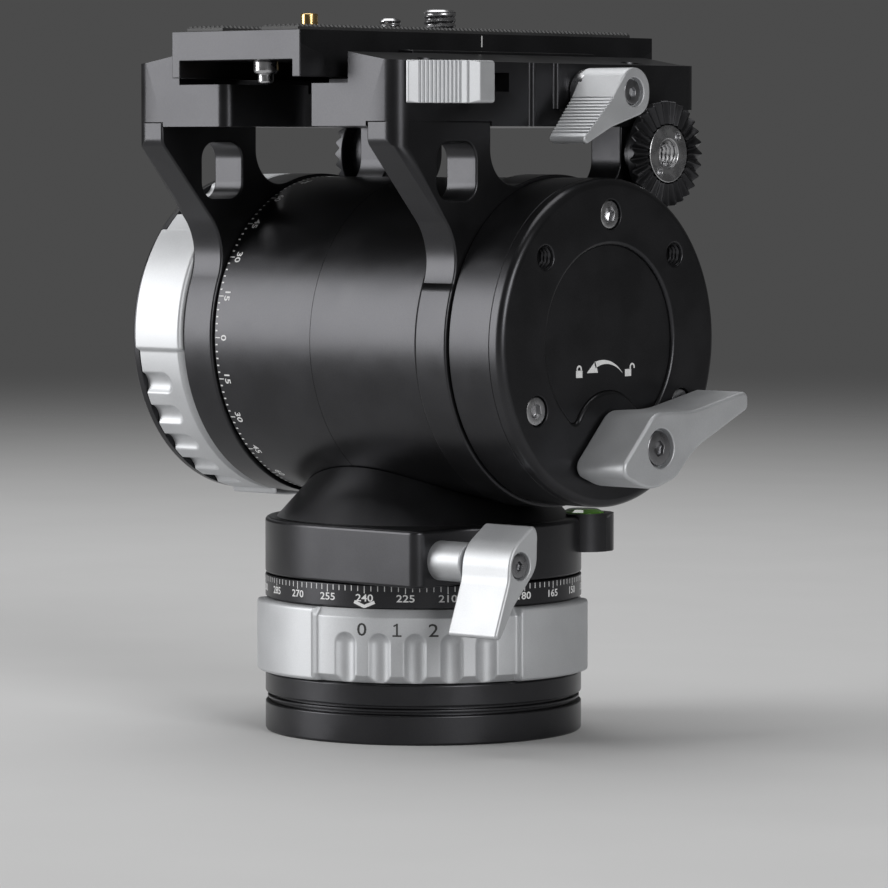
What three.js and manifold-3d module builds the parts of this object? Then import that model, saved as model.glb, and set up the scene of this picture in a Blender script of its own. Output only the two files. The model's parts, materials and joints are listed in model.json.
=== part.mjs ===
// A fluid video head for a tripod, in millimetres, with Z up and the pan axis through the origin.
// The drum lies along X, the levers are on its +X end, and the lens end of the camera plate looks to -Y.
import * as THREE from "three";
import { mergeVertices, toCreasedNormals } from "three/addons/utils/BufferGeometryUtils.js";
import ManifoldModule from "manifold-3d";

const wasm = await ManifoldModule();
wasm.setup();
const rad = THREE.MathUtils.degToRad;

// The driving sizes. Under each piece's own sizes stand the places that follow from its neighbours.

const gap = 0.3; // clearance between neighbouring pieces
const weld = 1e-4; // vertices closer than this are one vertex
const crease = rad(32); // sharper edges than this are shaded as edges
const sides = { broad: 32, medium: 16, small: 12, hidden: 12, fine: 6 }; // facets of a turned piece
const arcSteps = 2; // facets of a rounded corner, halved
const bevelSteps = 1;

const base = {
  radius: 46,
  edge: 0.8,
  rimTop: 8.5,
  grooveDepth: 1.8,
  ribGap: 0.8,
  ribHeight: 0.9,
  ribDepth: 0.6,
  collarHeight: 6.3,
  socketRadius: 4.8,
  socketDepth: 8,
};
base.ribBottom = base.rimTop + base.ribGap;
base.ribTop = base.ribBottom + base.ribHeight;
base.top = base.ribTop + base.ribGap;
base.collarTop = base.top + base.collarHeight;

const dial = {
  overhang: 2.5, // of the pads over the base
  recess: 1.4, // of the ring between the pads
  ringWidth: 7.2,
  height: 21,
  edge: 1.1,
  shoulder: 2.4, // height of the sloped band on the index side
  shoulderDrop: 3.1,
  lip: 1.2,
  padAngle: 45,
  repeats: 3,
  flutes: 5,
  flutePitch: 12.6,
  fluteRadius: 2.7,
  fluteDepth: 1.35,
  fluteTop: 14.7,
  wedgeReach: 60,
};
dial.radius = base.radius + dial.overhang;
dial.recessedRadius = dial.radius - dial.recess;
dial.shoulderRadius = dial.radius - dial.shoulderDrop;
dial.bore = dial.radius - dial.ringWidth;

const panDial = { bottom: base.collarTop + gap, zoneAngle: -50.2 };
const tiltDial = { zoneAngle: -47.5 };
const core = { radius: dial.bore - gap, wall: 3.5, floor: 3.2 };
const scaleRing = { radius: base.radius, height: 6.6, edge: 0.4 };
scaleRing.bottom = panDial.bottom + dial.height + gap;
scaleRing.top = scaleRing.bottom + scaleRing.height;
const panRotor = { height: 6.4 };
const thrustRing = { inner: 20, outer: 30, height: 2.7 };

const panHousing = {
  radius: base.radius,
  height: 14.5,
  lip: 0.9,
  edge: 0.7,
  bossInset: 6, // of the square boss's right side
  bossCorner: 3.5,
};
panHousing.bossX = panHousing.radius - panHousing.bossInset;
panHousing.bottom = scaleRing.top + gap;
panHousing.top = panHousing.bottom + panHousing.height;

const spindle = { radius: 12, neckRadius: 9, shoulder: panHousing.top - gap, tail: 6 };
spindle.top = spindle.shoulder + spindle.tail;
const spindleNut = { across: 16.8, bottom: panHousing.top + gap, height: 4.8, faces: 6 };

const drum = {
  clearance: 7.4, // over the pan housing
  overhang: 0.3, // over the base's radius
  half: 39.7,
  seam: -1.2,
  seamGap: 0.15,
  wall: 6,
  endWall: 4,
  edge: 0.7,
};
drum.radius = base.radius + drum.overhang;
drum.height = panHousing.top + drum.clearance + drum.radius;

const neck = { footRadius: panHousing.radius - gap, topRadius: 26, wrap: 12.3, cavityRadius: 18 };
neck.topHeight = drum.height - drum.radius + neck.wrap;
neck.cavityTop = spindle.top + 3 * gap;

const arm = {
  thickness: 11.5,
  ringRim: 0.9, // of the ring over the drum
  bearingRadius: 18,
  frontY: -66.5,
  corner: 3.5,
  columnRearY: -28.1,
  letIn: 1.3, // into the platform
  kneeDrop: 4.7, // of the column's front corner under the platform
  waistY: -47.2, // a point of the diagonal under the knee
  waistDrop: 25.9,
  diagonalFillet: 17,
  windowFrontFillet: 10,
  windowRearFillet: 8,
  rearFillet: 6,
  insideShare: 0.5,
  holeY: -42.2,
  holeDrop: 12.5,
  holeRadius: 8.1,
};
arm.inner = drum.half + gap;
arm.outer = arm.inner + arm.thickness;
arm.ringRadius = drum.radius + arm.ringRim;

const platform = {
  clearance: 14.4, // of its underside over the drum
  halfWidth: arm.outer,
  bossReach: 1.2, // of each step on the lever side
  bossStarts: [-12, -3],
  bossRound: 1.6,
  rearReach: 20, // behind the rosettes' axis
  corner: 5,
  thickness: 13.2,
  frontFloorDrop: 1.4,
  frontFloorEnd: -52,
  earInner: 33,
  earHeight: 7.2,
  earShoulder: 46.4,
  earShoulderDrop: 2.2,
  earOuterDrop: 2.8,
  grooveHalf: 12,
  grooveDepth: 3.9,
  notchCentre: 2.5,
  notchHalf: 16.7,
  notchDepth: 13,
  jawFront: -46,
};
platform.frontY = arm.frontY;
platform.bossWidths = [1, 2].map((steps) => platform.halfWidth + steps * platform.bossReach);
platform.widest = platform.bossWidths[1];
platform.bottom = drum.height + drum.radius + platform.clearance;
platform.floor = platform.bottom + platform.thickness;
platform.earInnerTop = platform.floor + platform.earHeight;
arm.top = platform.bottom + arm.letIn;
arm.holeZ = platform.bottom - arm.holeDrop;

const rosette = {
  clearance: 2.7, // between its rim and a drag dial's
  drop: 7.7, // of its axis under the platform
  stemRadius: 11.2,
  lugRadius: 12.2,
  standOff: 4.7,
  plate: 1.9,
  radius: 15.2,
  teeth: 32,
  toothHeight: 1.3,
  toothInner: 8.8,
  hubRadius: 8.4,
  hubRise: 1.1,
  threadRadius: 4.1,
  threadDepth: 13,
  pinHoleRadius: 1.2,
  pinHoleReach: 6.4,
  pinHoleDepth: 1.6,
  pinHoleAngle: 52,
};
rosette.z = platform.bottom - rosette.drop;
rosette.reach = dial.radius + rosette.clearance + rosette.radius;
rosette.y = Math.sqrt(rosette.reach ** 2 - (rosette.z - drum.height) ** 2);
arm.lugFrontY = rosette.y - rosette.lugRadius;
platform.rearY = rosette.y + platform.rearReach;
rosette.back = arm.outer + rosette.standOff;
rosette.face = rosette.back + rosette.plate;
rosette.hubFace = rosette.face + rosette.hubRise;

const tiltDialCap = { thickness: 2.3, radius: dial.bore - gap, edge: 0.9, screwRadius: 4 };
tiltDialCap.left = -arm.outer - dial.height;
tiltDialCap.right = tiltDialCap.left + tiltDialCap.thickness;

const lockHousing = { left: arm.outer + gap, length: 15.1, wall: 15.3, innerWall: 3.2 };
lockHousing.inner = drum.radius - lockHousing.wall;
lockHousing.right = lockHousing.left + lockHousing.length;

const axle = { radius: 10, bore: 6, headRadius: 14, head: 2 };
axle.left = tiltDialCap.right + gap;
axle.right = lockHousing.right - gap;
const tiltRotor = { stand: 0.7, width: 8, clearance: 0.6 };
tiltRotor.left = drum.endWall + tiltRotor.stand - drum.half;
const spring = { coilRadius: 21, wireRadius: 2.2, turns: 3.5, left: 4.5, steps: 9, wireSides: 5 };

const plate = {
  halfWidth: 25,
  wingHalf: 28,
  frontY: -77.2,
  rearY: 73.4,
  leadIn: 19,
  wingHeight: 2.4,
  flankHeight: 6.8,
  sideHeight: 3.8,
  webThickness: 8.2,
  legInner: 22,
  slotHalf: 5.2,
  slotFront: -34,
  slotRear: 44,
  padInner: 7.6,
  padOuter: 21.7,
  padFront: -74.5,
  padRear: 67,
  padHeight: 1.6,
  padEdge: 0.5,
};
plate.bottom = platform.floor + gap;
plate.wingTop = plate.bottom + plate.wingHeight;
plate.sideBottom = plate.wingTop + plate.flankHeight;
plate.top = plate.sideBottom + plate.sideHeight;
plate.webBottom = plate.top - plate.webThickness;

const jaw = {
  front: -38,
  rear: 40,
  opening: 2, // between the moving jaw and the platform's ear
  height: 5.6, // over the plate's wing
  reach: 0.17, // clearance to the plate's flank
  lugHalf: 6,
  lugDrop: 4.9, // under the clamp's axis
};
jaw.outer = platform.earInner - jaw.opening;
jaw.top = plate.wingTop + jaw.height;
jaw.lip =
  plate.wingHalf - ((plate.wingHalf - plate.halfWidth) * jaw.height) / plate.flankHeight + jaw.reach;
jaw.undercut = plate.wingHalf + gap;

const clamp = {
  y: 8.7,
  rise: 9.6, // of its axis over the platform's underside
  spindleRadius: 3.6,
  collarRadius: 6.6,
  collarWidth: 1.2,
  leverWidth: 16.9,
};
clamp.z = platform.bottom + clamp.rise;
clamp.spindleStart = jaw.outer - gap;
clamp.collarStart = platform.widest + gap;
clamp.collarEnd = clamp.collarStart + clamp.collarWidth;
clamp.leverInner = clamp.collarEnd + gap;
clamp.leverOuter = clamp.leverInner + clamp.leverWidth;
jaw.lugBottom = clamp.z - jaw.lugDrop;

const catchPiece = {
  reach: 11.8,
  front: -63.4,
  rampEnd: -46.4,
  rear: -39.6,
  nose: 1.2,
  rise: 6.2,
  height: 11.7,
  edge: 0.7,
  ribs: 9,
  ribPitch: 1.55,
  ribDepth: 0.35,
  stemDepth: 6.2,
  stemRear: -26,
  stemRise: 3.7,
  stemHeight: 4.7,
  slotFront: -47,
  slotRear: -20.6,
};
catchPiece.inner = platform.halfWidth + gap;
catchPiece.outer = catchPiece.inner + catchPiece.reach;
catchPiece.bottom = platform.bottom + catchPiece.rise;
catchPiece.top = catchPiece.bottom + catchPiece.height;
catchPiece.stemInner = catchPiece.inner - catchPiece.stemDepth;
catchPiece.stemBottom = catchPiece.bottom + catchPiece.stemRise;
catchPiece.stemTop = catchPiece.stemBottom + catchPiece.stemHeight;

const endCap = {
  thickness: 4.6,
  fillet: 2.4,
  filletSteps: 2,
  boltInset: 10.3, // from the drum's radius
  boltAngles: [90, 210, 330],
  headRadius: 4,
  headHeight: 3,
  headSink: 0.5,
  shankRadius: 2,
  shankLength: 9,
  threadInset: 9.3,
  threadAngle: 41.2,
  threadRadius: 3.2,
  threadDepth: 9,
  threadSink: 0.5,
  pocketInset: 17.7,
  pocketDepth: 1.1,
  pocketZ: 0.3,
};
endCap.right = lockHousing.right + endCap.thickness;
endCap.boltCircle = drum.radius - endCap.boltInset;
endCap.threadCircle = drum.radius - endCap.threadInset;
endCap.threadY = endCap.threadCircle * Math.cos(rad(endCap.threadAngle));
endCap.threadZ = endCap.threadCircle * Math.sin(rad(endCap.threadAngle));
endCap.pocketRadius = drum.radius - endCap.pocketInset;
const faceDisc = { radius: endCap.pocketRadius - gap, thickness: 0.55, biteCorner: 3 };

const tiltLock = {
  inset: 17.4, // from the drum's underside
  biteRadius: 14.2,
  spindleRadius: 4.2,
  shoeRadius: 8,
  shoeLength: 6,
  leverGap: 0.6,
  leverWidth: 17.9,
};
tiltLock.z = tiltLock.inset - drum.radius; // from the tilt axis
tiltLock.leverInner = endCap.right + tiltLock.leverGap;
tiltLock.leverOuter = tiltLock.leverInner + tiltLock.leverWidth;

const panLock = {
  inset: 9.7, // from the boss's front
  rise: 7.5, // over the pan housing's underside
  spindleRadius: 5.6,
  spindleLength: 26.7,
  spindleReach: 11.7, // beyond the boss
  leverWidth: 18,
};
panLock.y = panLock.inset - panHousing.radius;
panLock.z = panHousing.bottom + panLock.rise;
panLock.spindleEnd = panHousing.bossX + panLock.spindleReach;
panLock.spindleStart = panLock.spindleEnd - panLock.spindleLength;
panLock.leverInner = panLock.spindleEnd + gap;
panLock.leverOuter = panLock.leverInner + panLock.leverWidth;

const leverEdge = 0.8;
const leverScrews = {
  tilt: { head: 4.9, recess: 5.6, depth: 2.2, shank: 2.2 },
  pan: { head: 3.5, recess: 3.9, depth: 2, shank: 1.7 },
  clamp: { head: 3.6, recess: 4.1, depth: 1.8, shank: 1.7 },
};
const screwShape = { sink: 0.7, socketShare: 0.45, socketDepth: 1.2, tailLength: 6, faces: 6 };

// Lever outlines about the hub, as shares of the reach of the tip: [toward +Y, up, corner radius].
const tiltLever = {
  reach: 40,
  outlineShares: [
    [-0.455, -0.16, 0.08],
    [-0.113, -0.298, 0.4],
    [0.175, -0.215, 0.225],
    [0.36, -0.028, 0.75],
    [0.97, 0.24, 0.055],
    [0.965, 0.373, 0.05],
    [0.35, 0.248, 1],
    [-0.06, 0.253, 0.175],
  ],
};
const panLever = {
  reach: 20,
  outlineShares: [
    [-0.31, 0.215, 0.06],
    [0.095, 0.565, 0.08],
    [0.345, 0.545, 0.1],
    [0.39, -0.08, 0.35],
    [-0.22, -0.615, 0.45],
    [-0.41, -0.985, 0.055],
    [-0.555, -0.995, 0.055],
    [-0.26, -0.23, 0.4],
  ],
};
const clampLever = {
  reach: 23,
  outlineShares: [
    [0.3, 0.3, 0.274],
    [-0.126, 0.3, 0.252],
    [-0.526, -0.178],
    [-0.983, -0.574, 0.048],
    [-0.878, -0.635, 0.048],
    [-0.417, -0.43],
    [0.3, -0.226, 0.26],
  ],
  ribs: 12,
  ribPitch: 1.17,
  ribDepth: 0.45,
  ribFromShares: [-0.896, -0.513],
  ribToShares: [-0.387, -0.048],
};

const level = {
  angle: 42.6,
  overhang: 0.5, // of its axis over the pan housing
  radius: 9,
  rise: 5.2, // over the pan housing's underside
  stand: 3.9, // over its top
  notch: 2.2,
  notchAngle: 6.3,
  vialRadius: 6.2,
  vialDepth: 2.2,
};
level.reach = panHousing.radius + level.overhang;
level.bottom = panHousing.bottom + level.rise;
level.top = panHousing.top + level.stand;

const armScrew = {
  frontInset: 19.5, // from the platform's front
  headRadius: 3.4,
  headRise: 6.3, // over the platform's underside
  headHeight: 3.4,
  shankRadius: 1.9,
  length: 8.8,
  socketShare: 0.5,
  socketDepth: 1.8,
};
armScrew.x = (arm.inner + arm.outer) / 2;
armScrew.ys = [platform.frontY + armScrew.frontInset, rosette.y];
armScrew.headBottom = platform.bottom + armScrew.headRise;
armScrew.bottom = armScrew.headBottom - armScrew.length;

const cameraScrews = {
  quarter: { y: -14, radius: 3.15, rise: 4.5, head: 7, headDrop: 2.6 },
  threeEighths: { y: 7.1, radius: 4.7, rise: 7.4, head: 8, headDrop: 2.8 },
};
const cameraScrewShape = { chamfer: 0.7, slotHalf: 0.7, slotDepth: 1.2 };
const pin = { y: -47.5, radius: 2.45, rise: 5.8, dome: 0.8, flange: 3.9, flangeHeight: 2.1 };
pin.top = plate.top + pin.rise;
pin.flangeTop = plate.webBottom - gap;
pin.flangeBottom = pin.flangeTop - pin.flangeHeight;
const stopScrew = { y: -65, headRadius: 3, headHeight: 4, headDrop: 2.4, radius: 2.3, hold: 5 };
stopScrew.headTop = plate.webBottom - stopScrew.headDrop;
stopScrew.bottom = stopScrew.headTop - stopScrew.headHeight;
stopScrew.top = plate.webBottom + stopScrew.hold;

// Finishes, shared by the pieces that have them.

const finishes = {
  black: new THREE.MeshStandardMaterial({ color: 0x1b1c1e, roughness: 0.5, metalness: 0.6 }),
  silver: new THREE.MeshStandardMaterial({ color: 0xc4c7cb, roughness: 0.42, metalness: 0.85 }),
  steel: new THREE.MeshStandardMaterial({ color: 0xb4b6b8, roughness: 0.28, metalness: 1 }),
  rubber: new THREE.MeshStandardMaterial({ color: 0x141414, roughness: 0.9, metalness: 0 }),
  brass: new THREE.MeshStandardMaterial({ color: 0xc79a4b, roughness: 0.35, metalness: 1 }),
  friction: new THREE.MeshStandardMaterial({ color: 0x6d665c, roughness: 0.8, metalness: 0.1 }),
  liquid: new THREE.MeshStandardMaterial({ color: 0x9fce3c, roughness: 0.1, metalness: 0 }),
};

// Solids and outlines.

// The closed surface of a geometry, ready to be joined or cut.
function solid(geometry) {
  const bare = geometry.clone();
  bare.deleteAttribute("normal");
  bare.deleteAttribute("uv");
  const merged = mergeVertices(bare, weld);
  const kept = [];
  const corner = merged.index.array;
  for (let i = 0; i < corner.length; i += 3) {
    const [a, b, c] = [corner[i], corner[i + 1], corner[i + 2]];
    if (a !== b && b !== c && c !== a) kept.push(a, b, c);
  }
  const vertProperties = merged.attributes.position.array;
  const triVerts = new Uint32Array(kept);
  return new wasm.Manifold(new wasm.Mesh({ numProp: 3, vertProperties, triVerts }));
}

const joined = (first, ...others) => others.reduce((all, next) => all.add(next), first);
const cut = (first, ...tools) => tools.reduce((rest, tool) => rest.subtract(tool), first);

function geometryOf(body) {
  const { vertProperties, triVerts } = body.getMesh();
  const geometry = new THREE.BufferGeometry();
  geometry.setAttribute("position", new THREE.BufferAttribute(vertProperties, 3));
  geometry.setIndex(new THREE.BufferAttribute(triVerts, 1));
  return toCreasedNormals(geometry, crease);
}

// A table of shares turned into lengths.
const scaled = (shares, size) => shares.map((row) => row.map((share) => share * size));

function part(name, body, material) {
  const mesh = new THREE.Mesh(geometryOf(body), material);
  mesh.name = name;
  return mesh;
}

// A turned piece from a profile of [radius, height] that ends on the axis or closes on itself.
function lathe(profile, count) {
  const points = dedupe(profile).map(([r, h]) => new THREE.Vector2(r, h));
  if (THREE.ShapeUtils.area(points) < 0) points.reverse();
  return new THREE.LatheGeometry(points, count);
}
const turnedUp = (profile, count = sides.broad) => solid(lathe(profile, count).rotateX(Math.PI / 2));
const turnedAcross = (profile, count = sides.broad) => solid(lathe(profile, count).rotateZ(-Math.PI / 2));

// Plain rods along each axis, with their ends given.
function rodUp(radius, x, y, bottom, top, count = sides.small) {
  const rod = new THREE.CylinderGeometry(radius, radius, top - bottom, count).rotateX(Math.PI / 2);
  return solid(rod.translate(x, y, (bottom + top) / 2));
}
function rodAcross(radius, y, z, left, right, count = sides.small) {
  const rod = new THREE.CylinderGeometry(radius, radius, right - left, count).rotateZ(-Math.PI / 2);
  return solid(rod.translate((left + right) / 2, y, z));
}

function block(x0, x1, y0, y1, z0, z1) {
  const box = new THREE.BoxGeometry(x1 - x0, y1 - y0, z1 - z0);
  return solid(box.translate((x0 + x1) / 2, (y0 + y1) / 2, (z0 + z1) / 2));
}

// A ring profile between two radii, closed on itself, with its outer edges broken.
function ringProfile(inner, outer, low, high, edge) {
  return [
    [inner, low],
    [outer - edge, low],
    [outer, low + edge],
    [outer, high - edge],
    [outer - edge, high],
    [inner, high],
    [inner, low],
  ];
}

// Adds the arc that rounds the corner between two straight sides.
function roundCorner(path, before, corner, after, radius) {
  const back = before.clone().sub(corner).normalize();
  const on = after.clone().sub(corner).normalize();
  const half = Math.acos(THREE.MathUtils.clamp(back.dot(on), -1, 1)) / 2;
  const centre = back.clone().add(on).normalize().multiplyScalar(radius / Math.sin(half)).add(corner);
  const reach = radius / Math.tan(half);
  const start = back.multiplyScalar(reach).add(corner).sub(centre);
  const end = on.multiplyScalar(reach).add(corner).sub(centre);
  path.absarc(centre.x, centre.y, radius, start.angle(), end.angle(), start.cross(end) < 0);
}

// An outline of [u, v, corner radius] corners.
function outline(corners) {
  const shape = new THREE.Shape();
  const at = (i) => new THREE.Vector2(...corners[(i + corners.length) % corners.length].slice(0, 2));
  corners.forEach(([u, v, radius = 0], i) => {
    if (radius > 0) roundCorner(shape, at(i - 1), at(i), at(i + 1), radius);
    else if (i === 0) shape.moveTo(u, v);
    else shape.lineTo(u, v);
  });
  return shape;
}

function extruded(shape, length, bevel) {
  const rounded = bevel > 0;
  return new THREE.ExtrudeGeometry(shape, {
    depth: length - 2 * bevel,
    curveSegments: arcSteps,
    bevelEnabled: rounded,
    bevelThickness: bevel,
    bevelSize: bevel,
    bevelOffset: -bevel,
    bevelSegments: bevelSteps,
  }).translate(0, 0, bevel);
}

const unit = {
  x: new THREE.Vector3(1, 0, 0),
  y: new THREE.Vector3(0, 1, 0),
  z: new THREE.Vector3(0, 0, 1),
};
// Outlines drawn as (x, y), (y, z) and (x, z), swept along the third axis.
const sweptUp = (shape, low, high, bevel = 0) =>
  solid(extruded(shape, high - low, bevel).translate(0, 0, low));
const sweptAcross = (shape, left, right, bevel = 0) =>
  solid(
    extruded(shape, right - left, bevel)
      .applyMatrix4(new THREE.Matrix4().makeBasis(unit.y, unit.z, unit.x))
      .translate(left, 0, 0),
  );
const sweptAlong = (shape, front, rear, bevel = 0) =>
  solid(
    extruded(shape, rear - front, bevel)
      .applyMatrix4(new THREE.Matrix4().makeBasis(unit.x, unit.z, unit.y.clone().negate()))
      .translate(0, rear, 0),
  );

// The pan base, which stays on the tripod.

function baseFlange() {
  const b = base;
  const body = turnedUp([
    [0, 0],
    [b.radius - b.edge, 0],
    [b.radius, b.edge],
    [b.radius, b.rimTop - b.edge],
    [b.radius - b.edge, b.rimTop],
    [b.radius - b.grooveDepth, b.rimTop],
    [b.radius - b.grooveDepth, b.ribBottom],
    [b.radius - b.ribDepth, b.ribBottom],
    [b.radius - b.ribDepth, b.ribTop],
    [b.radius - b.grooveDepth, b.ribTop],
    [b.radius - b.grooveDepth, b.top],
    [0, b.top],
  ]);
  return cut(body, rodUp(b.socketRadius, 0, 0, -b.edge, b.socketDepth));
}

const baseCollar = () =>
  turnedUp(ringProfile(spindle.radius + gap, base.radius, base.top, base.collarTop, base.edge));

function panSpindle() {
  const s = spindle;
  return turnedUp(
    [
      [0, base.top],
      [s.radius, base.top],
      [s.radius, s.shoulder],
      [s.neckRadius, s.shoulder],
      [s.neckRadius, s.top],
      [0, s.top],
    ],
    sides.hidden,
  );
}

// The fixed cup inside a drag dial, its floor at the height from and its rim at the height to.
function coreProfile(from, to, bore) {
  const c = core;
  const floor = from + Math.sign(to - from) * c.floor;
  return [
    [bore, from],
    [c.radius, from],
    [c.radius, to],
    [c.radius - c.wall, to],
    [c.radius - c.wall, floor],
    [bore, floor],
    [bore, from],
  ];
}

const dragRotor = (low, height, bore) =>
  ringProfile(bore, core.radius - core.wall - base.edge, low, low + height, 0);

function nut() {
  const n = spindleNut;
  const top = n.bottom + n.height;
  const body = rodUp(n.across, 0, 0, n.bottom, top, n.faces);
  return cut(body, rodUp(spindle.neckRadius + gap, 0, 0, panHousing.top, top + gap));
}

// The drag dials.

// A dial along Z from 0 up, with three raised pads and fluted stretches between them.
function dragDial(zoneAngle) {
  const d = dial;
  const ring = turnedUp([
    [d.bore, 0],
    [d.recessedRadius - d.lip, 0],
    [d.recessedRadius, d.lip],
    [d.recessedRadius, d.height - d.shoulder],
    [d.shoulderRadius, d.height],
    [d.bore, d.height],
    [d.bore, 0],
  ]);
  const padRing = turnedUp(ringProfile(d.bore, d.radius, 0, d.height, d.edge));
  const step = 360 / d.repeats;
  let body = ring;
  for (let i = 0; i < d.repeats; i += 1) {
    const middle = zoneAngle + step * (i + 1 / 2);
    body = body.add(padRing.intersect(sector(middle, d.padAngle, d.height)));
  }
  for (let i = 0; i < d.repeats; i += 1) {
    for (let k = 0; k < d.flutes; k += 1) {
      const turn = zoneAngle + step * i + (k - (d.flutes - 1) / 2) * d.flutePitch;
      body = body.subtract(flute(rad(turn)));
    }
  }
  return body;
}

// A wedge of the circle about Z.
function sector(middle, width, height) {
  const reach = dial.wedgeReach;
  const edges = [middle - width / 2, middle, middle + width / 2].map(rad);
  const shape = outline([[0, 0], ...edges.map((a) => [reach * Math.cos(a), reach * Math.sin(a)])]);
  return sweptUp(shape, 0, height);
}

// The round-ended groove that a finger rests in.
function flute(turn) {
  const d = dial;
  const reach = d.recessedRadius - d.fluteDepth + d.fluteRadius;
  const groove = new THREE.CapsuleGeometry(d.fluteRadius, d.height, bevelSteps, sides.fine);
  const drop = d.fluteTop - d.fluteRadius - d.height / 2;
  groove.rotateX(Math.PI / 2).translate(reach, 0, drop).rotateZ(turn);
  return solid(groove);
}

// The pan head, which turns on the base.

function panHousingBody() {
  const h = panHousing;
  const bore = spindle.radius + gap;
  const round = turnedUp([
    [bore, h.bottom],
    [h.radius - h.lip, h.bottom],
    [h.radius, h.bottom + h.lip],
    [h.radius, h.top - h.edge],
    [h.radius - h.edge, h.top],
    [bore, h.top],
    [bore, h.bottom],
  ]);
  const boss = outline([
    [0, -h.radius],
    [h.bossX, -h.radius, h.bossCorner],
    [h.bossX, 0],
    [bore, 0],
    [bore, -bore],
    [0, -bore - gap],
  ]);
  const t = thrustRing;
  const seat = turnedUp(
    ringProfile(t.inner - gap, t.outer + gap, h.bottom - gap, scaleRing.top + t.height + gap, 0),
    sides.hidden,
  );
  const p = panLock;
  const lockBore = rodAcross(p.spindleRadius + gap, p.y, p.z, p.spindleStart - gap, h.bossX + gap);
  return cut(joined(round, sweptUp(boss, h.bottom, h.top, h.edge)), seat, lockBore, levelSeat());
}

// The upright bore that the level's boss stands in, through the pan housing and the cone's foot.
const levelSeat = () =>
  rodUp(level.radius + gap, ...levelPlace(), panHousing.bottom - gap, drum.height, sides.medium);

function levelPlace() {
  const a = rad(level.angle);
  return [level.reach * Math.cos(a), level.reach * Math.sin(a)];
}

function neckBody() {
  const n = neck;
  const cone = turnedUp([
    [0, panHousing.top],
    [n.footRadius, panHousing.top],
    [n.topRadius, n.topHeight],
    [0, n.topHeight],
  ]);
  const reach = drum.half * 2;
  const saddle = rodAcross(drum.radius + gap, 0, drum.height, -reach, reach, sides.broad);
  const cavity = rodUp(n.cavityRadius, 0, 0, panHousing.bottom, n.cavityTop);
  return cut(cone, saddle, cavity, levelSeat());
}

// The drum, drawn about the tilt axis.

function drumHalf(outer, inner) {
  const d = drum;
  const way = Math.sign(outer - inner);
  const bore = axle.radius + gap;
  return turnedAcross([
    [bore, outer],
    [d.radius - d.edge, outer],
    [d.radius, outer - way * d.edge],
    [d.radius, inner],
    [d.radius - d.wall, inner],
    [d.radius - d.wall, outer - way * d.endWall],
    [bore, outer - way * d.endWall],
    [bore, outer],
  ]);
}

// A hollow axle, as fine-sided as the bearings that turn on it.
function tiltAxle() {
  const a = axle;
  return turnedAcross(
    [
      [a.bore, a.left],
      [a.radius, a.left],
      [a.radius, a.right - a.head],
      [a.headRadius, a.right - a.head],
      [a.headRadius, a.right],
      [a.bore, a.right],
      [a.bore, a.left],
    ],
    sides.medium,
  );
}

function tiltRotorBody() {
  const t = tiltRotor;
  const outer = drum.radius - drum.wall - t.clearance;
  return turnedAcross(
    ringProfile(axle.radius + gap, outer, t.left, t.left + t.width, 0),
    sides.medium,
  );
}

// The coil that balances the camera, with its wire swept along a helix.
function springBody() {
  const s = spring;
  const right = drum.half - drum.endWall - gap - s.wireRadius;
  const points = [];
  const count = Math.round(s.turns * s.steps);
  for (let i = 0; i <= count; i += 1) {
    const turn = (2 * Math.PI * i) / s.steps;
    const along = THREE.MathUtils.lerp(s.left, right, i / count);
    const [y, z] = [s.coilRadius * Math.cos(turn), s.coilRadius * Math.sin(turn)];
    points.push(new THREE.Vector3(along, y, z));
  }
  const wire = new THREE.Shape();
  for (let i = 0; i < s.wireSides; i += 1) {
    const a = (2 * Math.PI * i) / s.wireSides;
    const [u, v] = [s.wireRadius * Math.cos(a), s.wireRadius * Math.sin(a)];
    if (i === 0) wire.moveTo(u, v);
    else wire.lineTo(u, v);
  }
  const extrudePath = new THREE.CatmullRomCurve3(points);
  return solid(new THREE.ExtrudeGeometry(wire, { steps: count, extrudePath, bevelEnabled: false }));
}

function lockHousingBody() {
  const h = lockHousing;
  const bore = axle.radius + gap;
  const wall = h.left + h.innerWall;
  const tube = turnedAcross([
    [bore, h.left],
    [drum.radius - drum.edge, h.left],
    [drum.radius, h.left + drum.edge],
    [drum.radius, h.right],
    [h.inner, h.right],
    [h.inner, wall],
    [bore, wall],
    [bore, h.left],
  ]);
  const shoeBore = rodAcross(tiltLock.shoeRadius + gap, 0, tiltLock.z, h.left - gap, h.right + gap);
  return cut(tube, shoeBore, ...capScrewBores(), ...threadedBores());
}

const boltPlaces = endCap.boltAngles.map((a) => [
  endCap.boltCircle * Math.cos(rad(a)),
  endCap.boltCircle * Math.sin(rad(a)),
]);

function capScrewBores() {
  const c = endCap;
  const end = c.right - c.headSink - c.headHeight;
  return boltPlaces.flatMap(([y, z]) => [
    rodAcross(c.shankRadius + gap, y, z, end - c.shankLength - gap, c.right + gap),
    rodAcross(c.headRadius + gap, y, z, end, c.right + gap, sides.small),
  ]);
}

// A cap screw along X with a hexagon socket.
function capScrewBody() {
  const c = endCap;
  const face = c.right - c.headSink;
  const seat = face - c.headHeight;
  const body = turnedAcross(
    [
      [0, seat - c.shankLength],
      [c.shankRadius, seat - c.shankLength],
      [c.shankRadius, seat],
      [c.headRadius, seat],
      [c.headRadius, face - gap],
      [c.headRadius - gap, face],
      [0, face],
    ],
    sides.small,
  );
  const s = screwShape;
  const socket = rodAcross(c.headRadius * s.socketShare, 0, 0, face - s.socketDepth, face + gap, s.faces);
  return cut(body, socket);
}

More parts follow.
